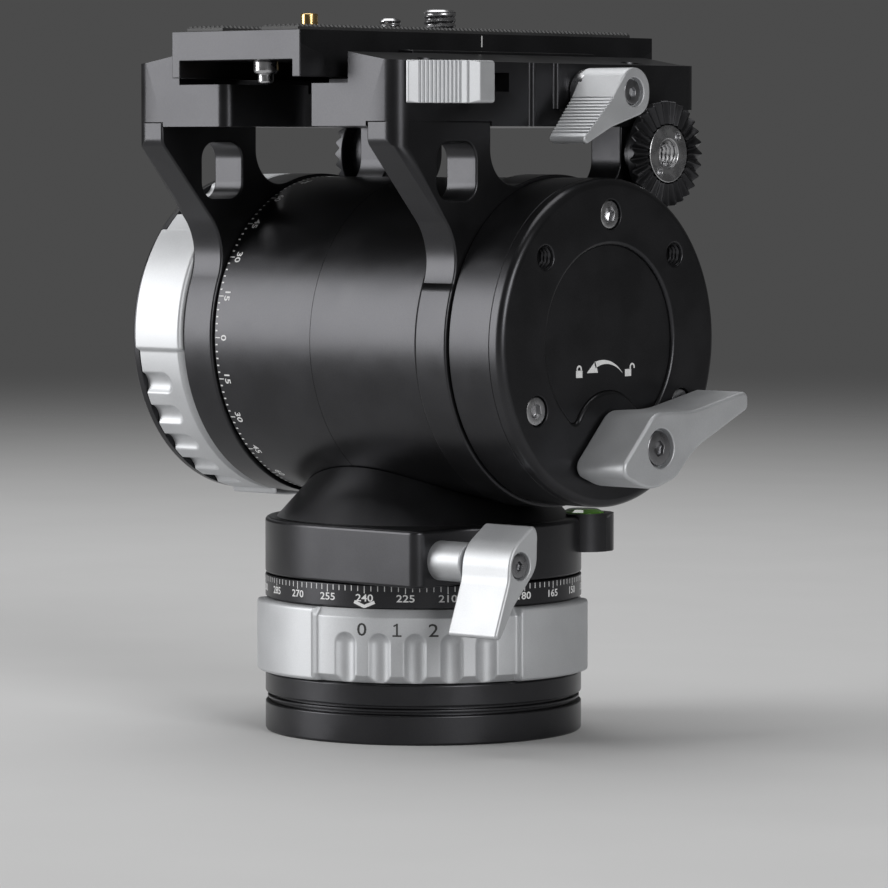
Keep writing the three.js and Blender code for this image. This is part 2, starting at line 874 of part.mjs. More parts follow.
function threadedBores() {
  const c = endCap;
  return [-c.threadY, c.threadY].flatMap((y) => {
    const sink = 2 * c.threadSink;
    const cone = new THREE.CylinderGeometry(c.threadRadius + sink, c.threadRadius, sink, sides.small);
    cone.rotateZ(-Math.PI / 2).translate(c.right, y, c.threadZ);
    return [rodAcross(c.threadRadius, y, c.threadZ, c.right - c.threadDepth, c.right + gap), solid(cone)];
  });
}

function endCapBody() {
  const c = endCap;
  const profile = [
    [0, lockHousing.right],
    [drum.radius, lockHousing.right],
  ];
  for (let i = 0; i <= c.filletSteps; i += 1) {
    const a = (Math.PI / 2) * (i / c.filletSteps);
    profile.push([drum.radius - c.fillet * (1 - Math.cos(a)), c.right - c.fillet * (1 - Math.sin(a))]);
  }
  profile.push([0, c.right]);
  const floor = c.right - c.pocketDepth;
  const pocket = rodAcross(c.pocketRadius, 0, c.pocketZ, floor, c.right + gap, sides.broad);
  const bite = rodAcross(tiltLock.biteRadius, 0, tiltLock.z, floor, c.right + gap, sides.medium);
  const t = tiltLock;
  const lockBore = rodAcross(t.spindleRadius + gap, 0, t.z, lockHousing.right - gap, c.right);
  return cut(turnedAcross(profile), pocket, bite, lockBore, ...capScrewBores(), ...threadedBores());
}

// The round face plate, bitten where the lock lever's hub stands.
function faceDiscBody() {
  const [f, c, t] = [faceDisc, endCap, tiltLock];
  const reach = c.pocketZ - t.z;
  const bite = t.biteRadius + f.biteCorner;
  const disc = f.radius - f.biteCorner;
  // The rounded horns touch the disc's rim from inside and the bite from outside.
  const down = (reach * reach + disc * disc - bite * bite) / (2 * reach);
  const horn = new THREE.Vector2(Math.sqrt(disc * disc - down * down), c.pocketZ - down);
  const rimAngle = Math.atan2(horn.y - c.pocketZ, horn.x);
  const biteAngle = Math.atan2(horn.y - t.z, horn.x);
  const shape = new THREE.Shape();
  const half = Math.PI / 2;
  shape.absarc(0, c.pocketZ, f.radius, rimAngle, half, false);
  shape.absarc(0, c.pocketZ, f.radius, half, Math.PI - rimAngle, false);
  shape.absarc(-horn.x, horn.y, f.biteCorner, Math.PI - rimAngle, -biteAngle, false);
  shape.absarc(0, t.z, t.biteRadius, Math.PI - biteAngle, biteAngle, true);
  shape.absarc(horn.x, horn.y, f.biteCorner, biteAngle - Math.PI, rimAngle, false);
  const floor = c.right - c.pocketDepth;
  const fine = new THREE.ExtrudeGeometry(shape, {
    depth: f.thickness,
    curveSegments: sides.fine / 2,
    bevelEnabled: false,
  });
  fine.applyMatrix4(new THREE.Matrix4().makeBasis(unit.y, unit.z, unit.x)).translate(floor, 0, 0);
  return solid(fine);
}

// Screws and levers.

// A lever screw along X, its head outward, with a hexagon socket.
function leverScrewBody(size, face, tail) {
  const s = screwShape;
  const top = face - size.depth + s.sink + gap;
  const seat = face - size.depth;
  const body = turnedAcross(
    [
      [0, tail],
      [size.shank, tail],
      [size.shank, seat],
      [size.head, seat],
      [size.head, top],
      [0, top + s.sink / 2],
    ],
    sides.small,
  );
  return cut(body, rodAcross(size.head * s.socketShare, 0, 0, top - s.socketDepth + gap, face, s.faces));
}

function leverBores(size, face, inner) {
  return [
    rodAcross(size.recess, 0, 0, face - size.depth, face + gap, sides.small),
    rodAcross(size.shank + gap, 0, 0, inner - gap, face),
  ];
}

const leverBody = (corners, inner, outer, size) =>
  cut(sweptAcross(outline(corners), inner, outer, leverEdge), ...leverBores(size, outer, inner));

// The camera clamp lever, ribbed across its grip.
function clampLeverBody() {
  const [c, l] = [clamp, clampLever];
  const shape = outline(scaled(l.outlineShares, l.reach));
  const body = sweptAcross(shape, c.leverInner, c.leverOuter, leverEdge);
  const from = new THREE.Vector2(...l.ribFromShares).multiplyScalar(l.reach);
  const run = new THREE.Vector2(...l.ribToShares).multiplyScalar(l.reach).sub(from);
  const edge = leverEdge * 2;
  const grooves = [];
  for (let i = 0; i < l.ribs; i += 1) {
    const at = from.clone().addScaledVector(run, i / (l.ribs - 1));
    const notch = ribNotch(at, run, -1, l.ribPitch, l.ribDepth);
    grooves.push(sweptAcross(notch, c.leverInner + edge, c.leverOuter - edge));
  }
  return cut(body, ...grooves, ...leverBores(leverScrews.clamp, c.leverOuter, c.leverInner));
}

// The V that is cut between two ribs of a grip, at a point of its surface. The way is 1 where the
// material lies to the left of the run, and -1 where it lies to the right.
function ribNotch(at, run, way, pitch, depth) {
  const along = run.clone().setLength(pitch / 2);
  const out = new THREE.Vector2(run.y, -run.x).multiplyScalar(way).normalize();
  const tip = at.clone().addScaledVector(out, -depth);
  const lift = at.clone().addScaledVector(out, pitch);
  const corners = [tip, lift.clone().add(along), lift.clone().sub(along)];
  return outline(corners.map((p) => [p.x, p.y]));
}

// The cradle's arms.

// The centre of a circle that touches a circle about the tilt axis from outside and a straight line.
function touchingCentre(point, direction, outward, radius, ring) {
  const start = point.clone().addScaledVector(outward, radius);
  const along = start.dot(direction);
  const reach = ring + radius;
  const root = Math.sqrt(along * along - start.lengthSq() + reach * reach);
  const options = [-along - root, -along + root].map((t) => start.clone().addScaledVector(direction, t));
  return options.reduce((a, b) => (a.y > b.y ? a : b));
}

// Adds a hollow fillet between two points of tangency.
function hollow(path, centre, radius, from, to) {
  const a = from.clone().sub(centre);
  const b = to.clone().sub(centre);
  path.absarc(centre.x, centre.y, radius, a.angle(), b.angle(), a.cross(b) < 0);
}

// The arm above its ring, drawn about the tilt axis: the front column, the window and the rear lug.
function armUpperOutline() {
  const a = arm;
  const low = (v) => v - drum.height;
  const top = low(a.top);
  const v2 = (u, v) => new THREE.Vector2(u, v);
  const onRing = (centre) => centre.clone().setLength(a.ringRadius);
  const inside = (centre) => centre.clone().setLength(a.ringRadius * a.insideShare);
  const shape = new THREE.Shape();

  const knee = v2(a.frontY, low(platform.bottom - a.kneeDrop));
  const waist = v2(a.waistY, low(platform.bottom - a.waistDrop));
  const down = waist.clone().sub(knee).normalize();
  const outward = v2(down.y, -down.x);
  const front = touchingCentre(knee, down, outward, a.diagonalFillet, a.ringRadius);
  const start = inside(front);
  const touch = front.clone().addScaledVector(outward, -a.diagonalFillet);
  shape.moveTo(start.x, start.y);
  hollow(shape, front, a.diagonalFillet, onRing(front), touch);
  roundCorner(shape, waist, knee, v2(a.frontY, top), a.corner);
  shape.lineTo(a.frontY, top);
  shape.lineTo(a.columnRearY, top);

  const up = v2(0, 1);
  const [r1, r2] = [a.windowFrontFillet, a.windowRearFillet];
  const windowFront = touchingCentre(v2(a.columnRearY, 0), up, v2(1, 0), r1, a.ringRadius);
  hollow(shape, windowFront, r1, v2(a.columnRearY, windowFront.y), onRing(windowFront));
  const windowRear = touchingCentre(v2(a.lugFrontY, 0), up, v2(-1, 0), r2, a.ringRadius);
  const middle = inside(v2(0, 1));
  shape.lineTo(middle.x, middle.y);
  hollow(shape, windowRear, r2, onRing(windowRear), v2(a.lugFrontY, windowRear.y));
  shape.lineTo(a.lugFrontY, top);

  const lug = v2(rosette.y, low(rosette.z));
  const r = rosette.lugRadius;
  shape.lineTo(lug.x + r, top);
  // The rear fillet touches the lug's round end and the ring.
  const [p, q, span] = [r + a.rearFillet, a.ringRadius + a.rearFillet, lug.length()];
  const along = (q * q - p * p + span * span) / (2 * span);
  const aside = Math.sqrt(q * q - along * along);
  const line = lug.clone().normalize();
  const rear = line.clone().multiplyScalar(along).addScaledVector(v2(line.y, -line.x), aside);
  const leave = rear.clone().sub(lug).setLength(r).add(lug);
  shape.absarc(lug.x, lug.y, r, 0, leave.clone().sub(lug).angle(), true);
  hollow(shape, rear, a.rearFillet, leave, onRing(rear));
  const end = inside(rear);
  shape.lineTo(end.x, end.y);
  return shape;
}

// One arm about the tilt axis, on the +X side for side 1 and on the -X side for side -1.
function armBody(side) {
  const a = arm;
  const [left, right] = side > 0 ? [a.inner, a.outer] : [-a.outer, -a.inner];
  const low = (v) => v - drum.height;
  const ring = rodAcross(a.ringRadius, 0, 0, left, right, sides.broad);
  const upper = sweptAcross(armUpperOutline(), left, right);
  const footprint = sweptUp(planOutline([], []), -a.ringRadius - gap, low(a.top) + gap);
  const r = rosette;
  const stem = side > 0 ? [right, r.back] : [-r.back, left];
  const boss = rodAcross(r.stemRadius, r.y, low(r.z), stem[0], stem[1], sides.medium);
  const s = armScrew;
  const screwEnds = [low(s.bottom) - gap, low(a.top) + gap];
  const screwBore = rodUp(s.shankRadius + gap, side * s.x, 0, ...screwEnds, sides.fine);
  const bores = [
    rodAcross(a.bearingRadius, 0, 0, left - gap, right + gap, sides.medium),
    rodAcross(a.holeRadius, a.holeY, low(a.holeZ), left - gap, right + gap, sides.medium),
    rosetteBore(side),
    ...s.ys.map((y) => screwBore.translate([0, y, 0])),
  ];
  return cut(joined(ring, upper.intersect(footprint), boss), ...bores);
}

// The threaded bore behind a rosette hub, about the tilt axis.
function rosetteBore(side) {
  const r = rosette;
  const ends = [r.hubFace - r.threadDepth, r.hubFace].map((x) => x * side).sort((a, b) => a - b);
  return rodAcross(r.threadRadius, r.y, r.z - drum.height, ends[0], ends[1]);
}

// The rosettes, drawn about their own axis and facing +X.

// Radial teeth: every second corner of the outer rim drops by the height of a tooth.
function rosetteBody() {
  const r = rosette;
  const profile = ringProfile(r.toothInner, r.radius, r.back, r.face + r.toothHeight, 0);
  const geometry = lathe(profile, 2 * r.teeth);
  const place = geometry.attributes.position;
  const high = r.face + r.toothHeight - gap;
  for (let i = 0; i < place.count; i += 1) {
    const reach = Math.hypot(place.getX(i), place.getZ(i));
    const step = Math.round((Math.atan2(place.getX(i), place.getZ(i)) * r.teeth) / Math.PI);
    if (place.getY(i) > high && reach > r.hubRadius + r.toothHeight + gap && step % 2 !== 0) {
      place.setY(i, r.face);
    }
  }
  return solid(geometry.rotateZ(-Math.PI / 2));
}

// A profile without the repeated corners that a ring with sharp edges has.
const dedupe = (profile) =>
  profile.filter(([r, h], i) => i === 0 || r !== profile[i - 1][0] || h !== profile[i - 1][1]);

function rosetteHubBody() {
  const r = rosette;
  const body = turnedAcross(
    [
      [r.threadRadius, r.back],
      [r.hubRadius, r.back],
      [r.hubRadius, r.hubFace - gap],
      [r.hubRadius - gap, r.hubFace],
      [r.threadRadius + gap, r.hubFace],
      [r.threadRadius, r.hubFace - gap],
      [r.threadRadius, r.back],
    ],
    sides.medium,
  );
  const holes = [0, 180].map((more) => {
    const a = rad(r.pinHoleAngle + more);
    const [y, z] = [r.pinHoleReach * Math.cos(a), r.pinHoleReach * Math.sin(a)];
    return rodAcross(r.pinHoleRadius, y, z, r.hubFace - r.pinHoleDepth, r.hubFace + gap, sides.fine);
  });
  return cut(body, ...holes);
}

// The platform.

// The platform from above, its +X side stepping out toward the clamp lever.
function planOutline(widths, starts) {
  const p = platform;
  const steps = [];
  widths.forEach((width, i) => {
    const before = i === 0 ? p.halfWidth : widths[i - 1];
    steps.push([before, starts[i], p.bossRound / 2], [width, starts[i] + gap, p.bossRound / 2]);
  });
  const widest = widths.length ? widths[widths.length - 1] : p.halfWidth;
  return outline([
    [-p.halfWidth, p.frontY, p.corner],
    [p.halfWidth, p.frontY, p.corner],
    ...steps,
    [widest, p.rearY, p.corner],
    [-p.halfWidth, p.rearY, p.corner],
  ]);
}

// The platform from its front end: floor, groove and ears.
function platformSection() {
  const p = platform;
  const outer = p.widest + p.bossRound;
  const groove = p.floor - p.grooveDepth;
  const shoulder = p.earInnerTop - p.earShoulderDrop;
  const edge = p.earInnerTop - p.earOuterDrop;
  return outline([
    [-outer, p.bottom],
    [outer, p.bottom],
    [outer, edge],
    [p.earShoulder, shoulder],
    [p.earInner, p.earInnerTop],
    [p.earInner, p.floor],
    [p.grooveHalf, p.floor],
    [p.grooveHalf, groove],
    [-p.grooveHalf, groove],
    [-p.grooveHalf, p.floor],
    [-p.earInner, p.floor],
    [-p.earInner, p.earInnerTop],
    [-p.earShoulder, shoulder],
    [-outer, edge],
  ]);
}

function platformBody() {
  const p = platform;
  const [low, high] = [p.bottom - gap, p.earInnerTop + gap];
  // The second step is higher up than the first.
  const first = sweptUp(planOutline(p.bossWidths.slice(0, 1), p.bossStarts.slice(0, 1)), low, high);
  const whole = sweptUp(planOutline(p.bossWidths, p.bossStarts), p.bottom + p.corner, high);
  const section = sweptAlong(platformSection(), p.frontY - gap, p.rearY + gap);
  const body = joined(joined(first, whole).intersect(section), fixedJaw());
  const [left, right] = [p.notchCentre - p.notchHalf, p.notchCentre + p.notchHalf];
  const notch = outline([
    [left, p.frontY - gap],
    [right, p.frontY - gap],
    [right, p.frontY + p.notchDepth, p.corner],
    [left, p.frontY + p.notchDepth, p.corner],
  ]);
  const [front, end, drop] = [p.frontY - gap, p.frontFloorEnd, p.floor - p.frontFloorDrop];
  const frontFloor = block(-p.earInner, p.earInner, front, end, drop, p.floor + gap);
  return cut(body, sweptUp(notch, low, high), frontFloor, ...armRecesses(), ...platformBores());
}

// The fixed side of the dovetail, on the left.
function fixedJaw() {
  const [p, j] = [platform, jaw];
  const shape = outline([
    [-j.lip, j.top - gap],
    [-j.lip, j.top],
    [-p.earInner - gap, p.earInnerTop],
    [-p.earInner - gap, p.floor - gap],
    [-j.undercut, p.floor - gap],
    [-j.undercut, plate.wingTop],
  ]);
  return sweptAlong(shape, p.jawFront, p.rearY - p.corner);
}

// The shallow steps under the platform that the arms are let into.
function armRecesses() {
  const p = platform;
  const a = arm;
  const spans = [
    [p.frontY - gap, a.columnRearY + gap],
    [a.lugFrontY - gap, rosette.y + rosette.lugRadius + gap],
  ];
  return spans.flatMap(([front, rear]) => [
    block(a.inner - gap, a.outer + gap, front, rear, p.bottom - gap, a.top),
    block(-a.outer - gap, -a.inner + gap, front, rear, p.bottom - gap, a.top),
  ]);
}

function platformBores() {
  const [p, c, k, s] = [platform, clamp, catchPiece, armScrew];
  const end = p.widest + gap;
  const lug = jaw.lugHalf + gap;
  const slot = [k.stemInner - 2 * gap, p.halfWidth + gap, k.slotFront, k.slotRear];
  const bores = [
    rodAcross(rosette.stemRadius + gap, rosette.y, rosette.z, arm.outer, end, sides.medium),
    rodAcross(c.spindleRadius + gap, c.y, c.z, jaw.undercut - gap, end),
    block(jaw.undercut - gap, p.earInner + gap, c.y - lug, c.y + lug, jaw.lugBottom - gap, p.floor + gap),
    block(...slot, k.stemBottom - gap, k.stemTop + gap),
  ];
  [-s.x, s.x].forEach((x) =>
    s.ys.forEach((y) => {
      bores.push(rodUp(s.headRadius + gap, x, y, s.headBottom, p.earInnerTop + gap, sides.small));
      bores.push(rodUp(s.shankRadius + gap, x, y, p.bottom - gap, s.headBottom + gap, sides.fine));
    }),
  );
  return bores;
}

function armScrewBody(x, y) {
  const s = armScrew;
  const top = s.headBottom + s.headHeight;
  const body = joined(
    rodUp(s.headRadius, x, y, s.headBottom, top, sides.small),
    rodUp(s.shankRadius, x, y, s.bottom, s.headBottom + gap, sides.fine),
  );
  const faces = screwShape.faces;
  const socket = rodUp(s.headRadius * s.socketShare, x, y, top - s.socketDepth, top + gap, faces);
  return cut(body, socket);
}

// The camera clamp.

function clampJawBody() {
  const j = jaw;
  const bottom = platform.floor + gap;
  const shape = outline([
    [j.undercut + gap, bottom],
    [j.outer, bottom],
    [j.outer, j.top - gap],
    [j.lip + gap, j.top],
    [j.lip + gap, j.top - gap],
    [j.undercut + gap, plate.wingTop],
  ]);
  const c = clamp;
  const [front, rear] = [c.y - j.lugHalf, c.y + j.lugHalf];
  const lug = block(j.undercut + gap, j.outer, front, rear, j.lugBottom, bottom + gap);
  const spindleBore = rodAcross(c.spindleRadius + gap, c.y, c.z, j.undercut - gap, j.outer + gap);
  return cut(joined(sweptAlong(shape, j.front, j.rear), lug), spindleBore);
}

function clampSpindleBody() {
  const c = clamp;
  const body = turnedAcross(
    [
      [0, c.spindleStart],
      [c.spindleRadius, c.spindleStart],
      [c.spindleRadius, c.collarStart],
      [c.collarRadius, c.collarStart],
      [c.collarRadius, c.collarEnd],
      [0, c.collarEnd],
    ],
    sides.small,
  );
  return cut(body, tailBore(leverScrews.clamp, c.collarEnd));
}

const tailBore = (size, face) =>
  rodAcross(size.shank + gap, 0, 0, face - screwShape.tailLength - gap, face + gap);

// The thumb slide of the safety catch: a ribbed ramp with a stem that runs in a slot.
function catchBody() {
  const k = catchPiece;
  const ramp = outline([
    [k.inner, k.front, k.edge],
    [k.inner + k.nose, k.front, k.edge],
    [k.outer, k.rampEnd, k.edge],
    [k.outer, k.rear, k.edge],
    [k.inner, k.rear],
  ]);
  const stem = block(k.stemInner, k.inner + gap, k.rampEnd, k.stemRear, k.stemBottom, k.stemTop);
  const foot = block(k.inner, k.inner + k.nose, k.rear - gap, k.stemRear, k.stemBottom, k.stemTop);
  const run = new THREE.Vector2(k.outer - k.inner - k.nose, k.rampEnd - k.front);
  const middle = new THREE.Vector2(k.inner + k.nose, k.front).addScaledVector(run, 1 / 2);
  const along = run.clone().normalize();
  const grooves = [];
  for (let i = 0; i < k.ribs; i += 1) {
    const at = middle.clone().addScaledVector(along, (i - (k.ribs - 1) / 2) * k.ribPitch);
    const notch = ribNotch(at, run, 1, k.ribPitch, k.ribDepth);
    grooves.push(sweptUp(notch, k.bottom - gap, k.top + gap));
  }
  return joined(cut(sweptUp(ramp, k.bottom, k.top), ...grooves), stem, foot);
}

// The camera plate.

function plateBody() {
  const p = plate;
  const section = outline([
    [-p.wingHalf, p.bottom],
    [-p.legInner, p.bottom],
    [-p.legInner, p.webBottom],
    [p.legInner, p.webBottom],
    [p.legInner, p.bottom],
    [p.wingHalf, p.bottom],
    [p.wingHalf, p.wingTop],
    [p.halfWidth, p.sideBottom],
    [p.halfWidth, p.top],
    [-p.halfWidth, p.top],
    [-p.halfWidth, p.sideBottom],
    [-p.wingHalf, p.wingTop],
  ]);
  const plan = outline([
    [-p.halfWidth, p.frontY],
    [p.halfWidth, p.frontY],
    [p.wingHalf + gap, p.frontY + p.leadIn],
    [p.wingHalf + gap, p.rearY - p.leadIn],
    [p.halfWidth, p.rearY],
    [-p.halfWidth, p.rearY],
    [-p.wingHalf - gap, p.rearY - p.leadIn],
    [-p.wingHalf - gap, p.frontY + p.leadIn],
  ]);
  const bar = sweptAlong(section, p.frontY, p.rearY);
  const body = bar.intersect(sweptUp(plan, p.bottom - gap, p.top + gap));
  const slot = outline([
    [-p.slotHalf, p.slotFront, p.slotHalf - gap],
    [p.slotHalf, p.slotFront, p.slotHalf - gap],
    [p.slotHalf, p.slotRear, p.slotHalf - gap],
    [-p.slotHalf, p.slotRear, p.slotHalf - gap],
  ]);
  return cut(
    body,
    sweptUp(slot, p.webBottom - gap, p.top + gap),
    rodUp(pin.radius + gap, 0, pin.y, p.webBottom - gap, p.top + gap),
    rodUp(stopScrew.radius + gap, 0, stopScrew.y, p.webBottom - gap, stopScrew.top + gap),
  );
}

// A rubber strip on the right for side 1 and on the left for side -1.
function padBody(side) {
  const p = plate;
  const high = p.top + p.padHeight;
  const section = outline([
    [side * p.padInner, p.top],
    [side * p.padOuter, p.top],
    [side * p.padOuter, high - p.padEdge],
    [side * (p.padOuter - p.padEdge), high],
    [side * (p.padInner + p.padEdge), high],
    [side * p.padInner, high - p.padEdge],
  ]);
  return sweptAlong(section, p.padFront, p.padRear);
}

// A camera screw with a slotted head under the plate and a chamfered end above it.
function cameraScrewBody(size) {
  const s = cameraScrewShape;
  const bottom = plate.webBottom - size.headDrop;
  const top = plate.top + size.rise;
  const profile = [
    [0, bottom],
    [size.head - s.chamfer, bottom],
    [size.head, bottom + s.chamfer],
    [size.head, plate.webBottom],
    [size.radius, plate.webBottom],
    [size.radius, top - s.chamfer],
    [size.radius - s.chamfer, top],
    [0, top],
  ];
  const reach = size.head + gap;
  const slot = block(-reach, reach, -s.slotHalf, s.slotHalf, bottom - gap, bottom + s.slotDepth);
  return cut(turnedUp(profile, sides.small), slot);
}

function pinBody() {
  const p = pin;
  return turnedUp(
    [
      [0, p.flangeBottom],
      [p.flange, p.flangeBottom],
      [p.flange, p.flangeTop],
      [p.radius, p.flangeTop],
      [p.radius, p.top - p.dome],
      [p.radius - p.dome, p.top],
      [0, p.top],
    ],
    sides.small,
  );
}

function stopScrewBody() {
  const s = stopScrew;
  return turnedUp(
    [
      [0, s.bottom],
      [s.headRadius, s.bottom],
      [s.headRadius, s.headTop],
      [s.radius, s.headTop],
      [s.radius, s.top],
      [0, s.top],
    ],
    sides.small,
  );
}

// The bubble level.

function levelBossBody() {
  const l = level;
  const [x, y] = levelPlace();
  const body = rodUp(l.radius, x, y, l.bottom, l.top, sides.medium);
  const out = l.reach + l.radius;
  const a = rad(l.angle);
  const ends = [l.bottom - gap, l.top - l.vialDepth - gap];
  const notches = [-1, 1].map((way) => {
    const turn = a + way * rad(l.notchAngle);
    return rodUp(l.notch, out * Math.cos(turn), out * Math.sin(turn), ...ends, sides.fine);
  });
  return cut(body, rodUp(l.vialRadius + gap, x, y, l.top - l.vialDepth, l.top + gap), ...notches);
}

// The assembly. Each group holds the pieces of one moving body, or of one axis.
const f = finishes;

function panBaseGroup() {
  const bore = spindle.radius + gap;
  const s = scaleRing;
  const cup = coreProfile(base.collarTop, s.bottom, bore);
  const rotor = dragRotor(base.collarTop + core.floor, panRotor.height, bore);
  const group = new THREE.Group();
  group.add(
    part("base_flange", baseFlange(), f.black),
    part("base_collar", baseCollar(), f.black),
    part("pan_spindle", panSpindle(), f.steel),
    part("pan_drag_housing", turnedUp(cup, sides.medium), f.black),
    part("pan_drag_rotor", turnedUp(rotor, sides.hidden), f.friction),
    part("pan_scale_ring", turnedUp(ringProfile(bore, s.radius, s.bottom, s.top, s.edge)), f.black),
    part("spindle_nut", nut(), f.steel),
  );
  return group;
}

function panDialMesh() {
  const mesh = part("pan_drag_dial", dragDial(panDial.zoneAngle), f.silver);
  mesh.position.z = panDial.bottom;
  return mesh;
}

function panHeadGroup() {
  const t = thrustRing;
  const l = level;
  const thrust = ringProfile(t.inner, t.outer, scaleRing.top, scaleRing.top + t.height, 0);
  const vial = rodUp(l.vialRadius, ...levelPlace(), l.top - l.vialDepth, l.top - gap);
  const group = new THREE.Group();
  group.add(
    part("pan_thrust_ring", turnedUp(thrust, sides.hidden), f.brass),
    part("pan_housing", panHousingBody(), f.black),
    part("neck_saddle", neckBody(), f.black),
    part("level_boss", levelBossBody(), f.black),
    part("level_vial", vial, f.liquid),
  );
  return group;
}

// The drum's fixed pieces, round X.
function drumGroup() {
  const group = new THREE.Group();
  group.add(
    part("drum_left", drumHalf(-drum.half, drum.seam - drum.seamGap), f.black),
    part("drum_right", drumHalf(drum.half, drum.seam + drum.seamGap), f.black),
    part("tilt_axle", tiltAxle(), f.steel),
    part("tilt_drag_rotor", tiltRotorBody(), f.friction),
    part("counterbalance_spring", springBody(), f.steel),
    part("lock_housing", lockHousingBody(), f.black),
    part("end_cap", endCapBody(), f.black),
    part("end_face_disc", faceDiscBody(), f.black),
  );
  ["top", "front", "rear"].forEach((place, i) => {
    const mesh = part("end_cap_screw_" + place, capScrewBody(), f.steel);
    mesh.position.set(0, ...boltPlaces[i]);
    group.add(mesh);
  });
  return group;
}

// The tilt lock: a shoe on the right arm's disc, its spindle and the lever.
function tiltLockGroup() {
  const [t, l] = [tiltLock, tiltLever];
  const size = leverScrews.tilt;
  const shoeStart = lockHousing.left + gap;
  const shoeEnd = shoeStart + t.shoeLength;
  const spindleEnd = t.leverInner - gap;
  const rod = rodAcross(t.spindleRadius, 0, 0, shoeEnd, spindleEnd);
  const lever = leverBody(scaled(l.outlineShares, l.reach), t.leverInner, t.leverOuter, size);
  const screw = leverScrewBody(size, t.leverOuter, spindleEnd - screwShape.tailLength);
  const group = new THREE.Group();
  group.position.z = t.z;
  group.add(
    part("tilt_lock_shoe", rodAcross(t.shoeRadius, 0, 0, shoeStart, shoeEnd), f.friction),
    part("tilt_lock_spindle", cut(rod, tailBore(size, spindleEnd)), f.steel),
    part("tilt_lock_lever", lever, f.silver),
    part("tilt_lever_screw", screw, f.steel),
  );
  return group;
}

// The tilt drag dial, its fixed core and its cover, on the left end.
function tiltDialGroup() {
  const c = tiltDialCap;
  const dialMesh = part("tilt_drag_dial", dragDial(tiltDial.zoneAngle), f.silver);
  dialMesh.position.x = c.left - gap;
  dialMesh.rotation.y = Math.PI / 2;
  const recess = c.left + c.edge;
  const cover = [
    [0, c.right],
    [c.radius, c.right],
    [c.radius, recess],
    [c.radius - c.edge, c.left],
    [c.screwRadius + gap, c.left],
    [c.screwRadius + gap - c.edge, recess],
    [0, recess],
  ];
  const cup = coreProfile(-arm.outer - gap, c.right, axle.radius + gap);
  const group = new THREE.Group();
  group.add(
    dialMesh,
    part("tilt_drag_housing", turnedAcross(cup, sides.medium), f.black),
    part("tilt_dial_cover", turnedAcross(cover), f.black),
  );
  return group;
}

// The ring that an arm turns on, as fine-sided as the axle in it.
function bearingBody(side) {
  const ends = [side * (arm.inner + gap), side * (arm.outer - gap)].sort((a, b) => a - b);
  const profile = ringProfile(axle.radius + gap, arm.bearingRadius - gap, ...ends, gap);
  return turnedAcross(profile, sides.medium);
}

function armsGroup() {
  const group = new THREE.Group();
  group.add(
    part("arm_left", armBody(-1), f.black),
    part("arm_right", armBody(1), f.black),
    part("arm_bearing_left", bearingBody(-1), f.steel),
    part("arm_bearing_right", bearingBody(1), f.steel),
  );
  return group;
}

function rosetteGroup(side) {
  const group = new THREE.Group();
  group.position.set(0, rosette.y, rosette.z);
  group.rotation.z = side === "left" ? Math.PI : 0;
  group.add(
    part("rosette_" + side, rosetteBody(), f.black),
    part("rosette_hub_" + side, rosetteHubBody(), f.steel),
  );
  return group;
}

function cradleGroup() {
  const group = new THREE.Group();
  group.add(part("platform", platformBody(), f.black), rosetteGroup("right"), rosetteGroup("left"));
  [-1, 1].forEach((side) =>
    armScrew.ys.forEach((y) => {
      const name = ["arm_screw", side > 0 ? "right" : "left", y < 0 ? "front" : "rear"].join("_");
      group.add(part(name, armScrewBody(side * armScrew.x, y), f.steel));
    }),
  );
  group.add(part("clamp_jaw", clampJawBody(), f.black), part("safety_catch", catchBody(), f.silver));
  return group;
}

function clampGroup() {
  const c = clamp;
  const screw = leverScrewBody(leverScrews.clamp, c.leverOuter, c.collarEnd - screwShape.tailLength);
  const group = new THREE.Group();
  group.position.set(0, c.y, c.z);
  group.add(
    part("clamp_spindle", clampSpindleBody(), f.steel),
    part("clamp_lever", clampLeverBody(), f.silver),
    part("clamp_lever_screw", screw, f.steel),
  );
  return group;
}

// The pan lock, on the square boss of the pan housing.
function panLockGroup() {
  const [p, l] = [panLock, panLever];
  const size = leverScrews.pan;
  const rod = rodAcross(p.spindleRadius, 0, 0, p.spindleStart, p.spindleEnd);
  const lever = leverBody(scaled(l.outlineShares, l.reach), p.leverInner, p.leverOuter, size);
  const screw = leverScrewBody(size, p.leverOuter, p.spindleEnd - screwShape.tailLength);
  const group = new THREE.Group();
  group.position.set(0, p.y, p.z);
  group.add(
    part("pan_lock_spindle", cut(rod, tailBore(size, p.spindleEnd)), f.silver),
    part("pan_lock_lever", lever, f.silver),
    part("pan_lever_screw", screw, f.steel),
  );
  return group;
}

function cameraPlateGroup() {
  const group = new THREE.Group();
  const standing = (name, body, finish, y) => {
    const mesh = part(name, body, finish);
    mesh.position.y = y;
    return mesh;
  };
  const { quarter, threeEighths } = cameraScrews;
  group.add(
    part("camera_plate", plateBody(), f.black),
    part("plate_pad_left", padBody(-1), f.rubber),
    part("plate_pad_right", padBody(1), f.rubber),
    standing("locating_pin", pinBody(), f.brass, pin.y),
    standing("plate_stop_screw", stopScrewBody(), f.steel, stopScrew.y),
    standing("camera_screw_quarter", cameraScrewBody(quarter), f.steel, quarter.y),
    standing("camera_screw_three_eighths", cameraScrewBody(threeEighths), f.steel, threeEighths.y),
  );
  return group;
}

// Everything about the tilt axis is drawn round X and lifted to the drum's height.
const tiltLine = new THREE.Group();
tiltLine.position.z = drum.height;
tiltLine.add(drumGroup(), tiltLockGroup(), tiltDialGroup(), armsGroup());

const head = new THREE.Group();
head.add(panBaseGroup(), panDialMesh(), panHeadGroup(), panLockGroup(), tiltLine);
head.add(cradleGroup(), clampGroup(), cameraPlateGroup());
export default head;
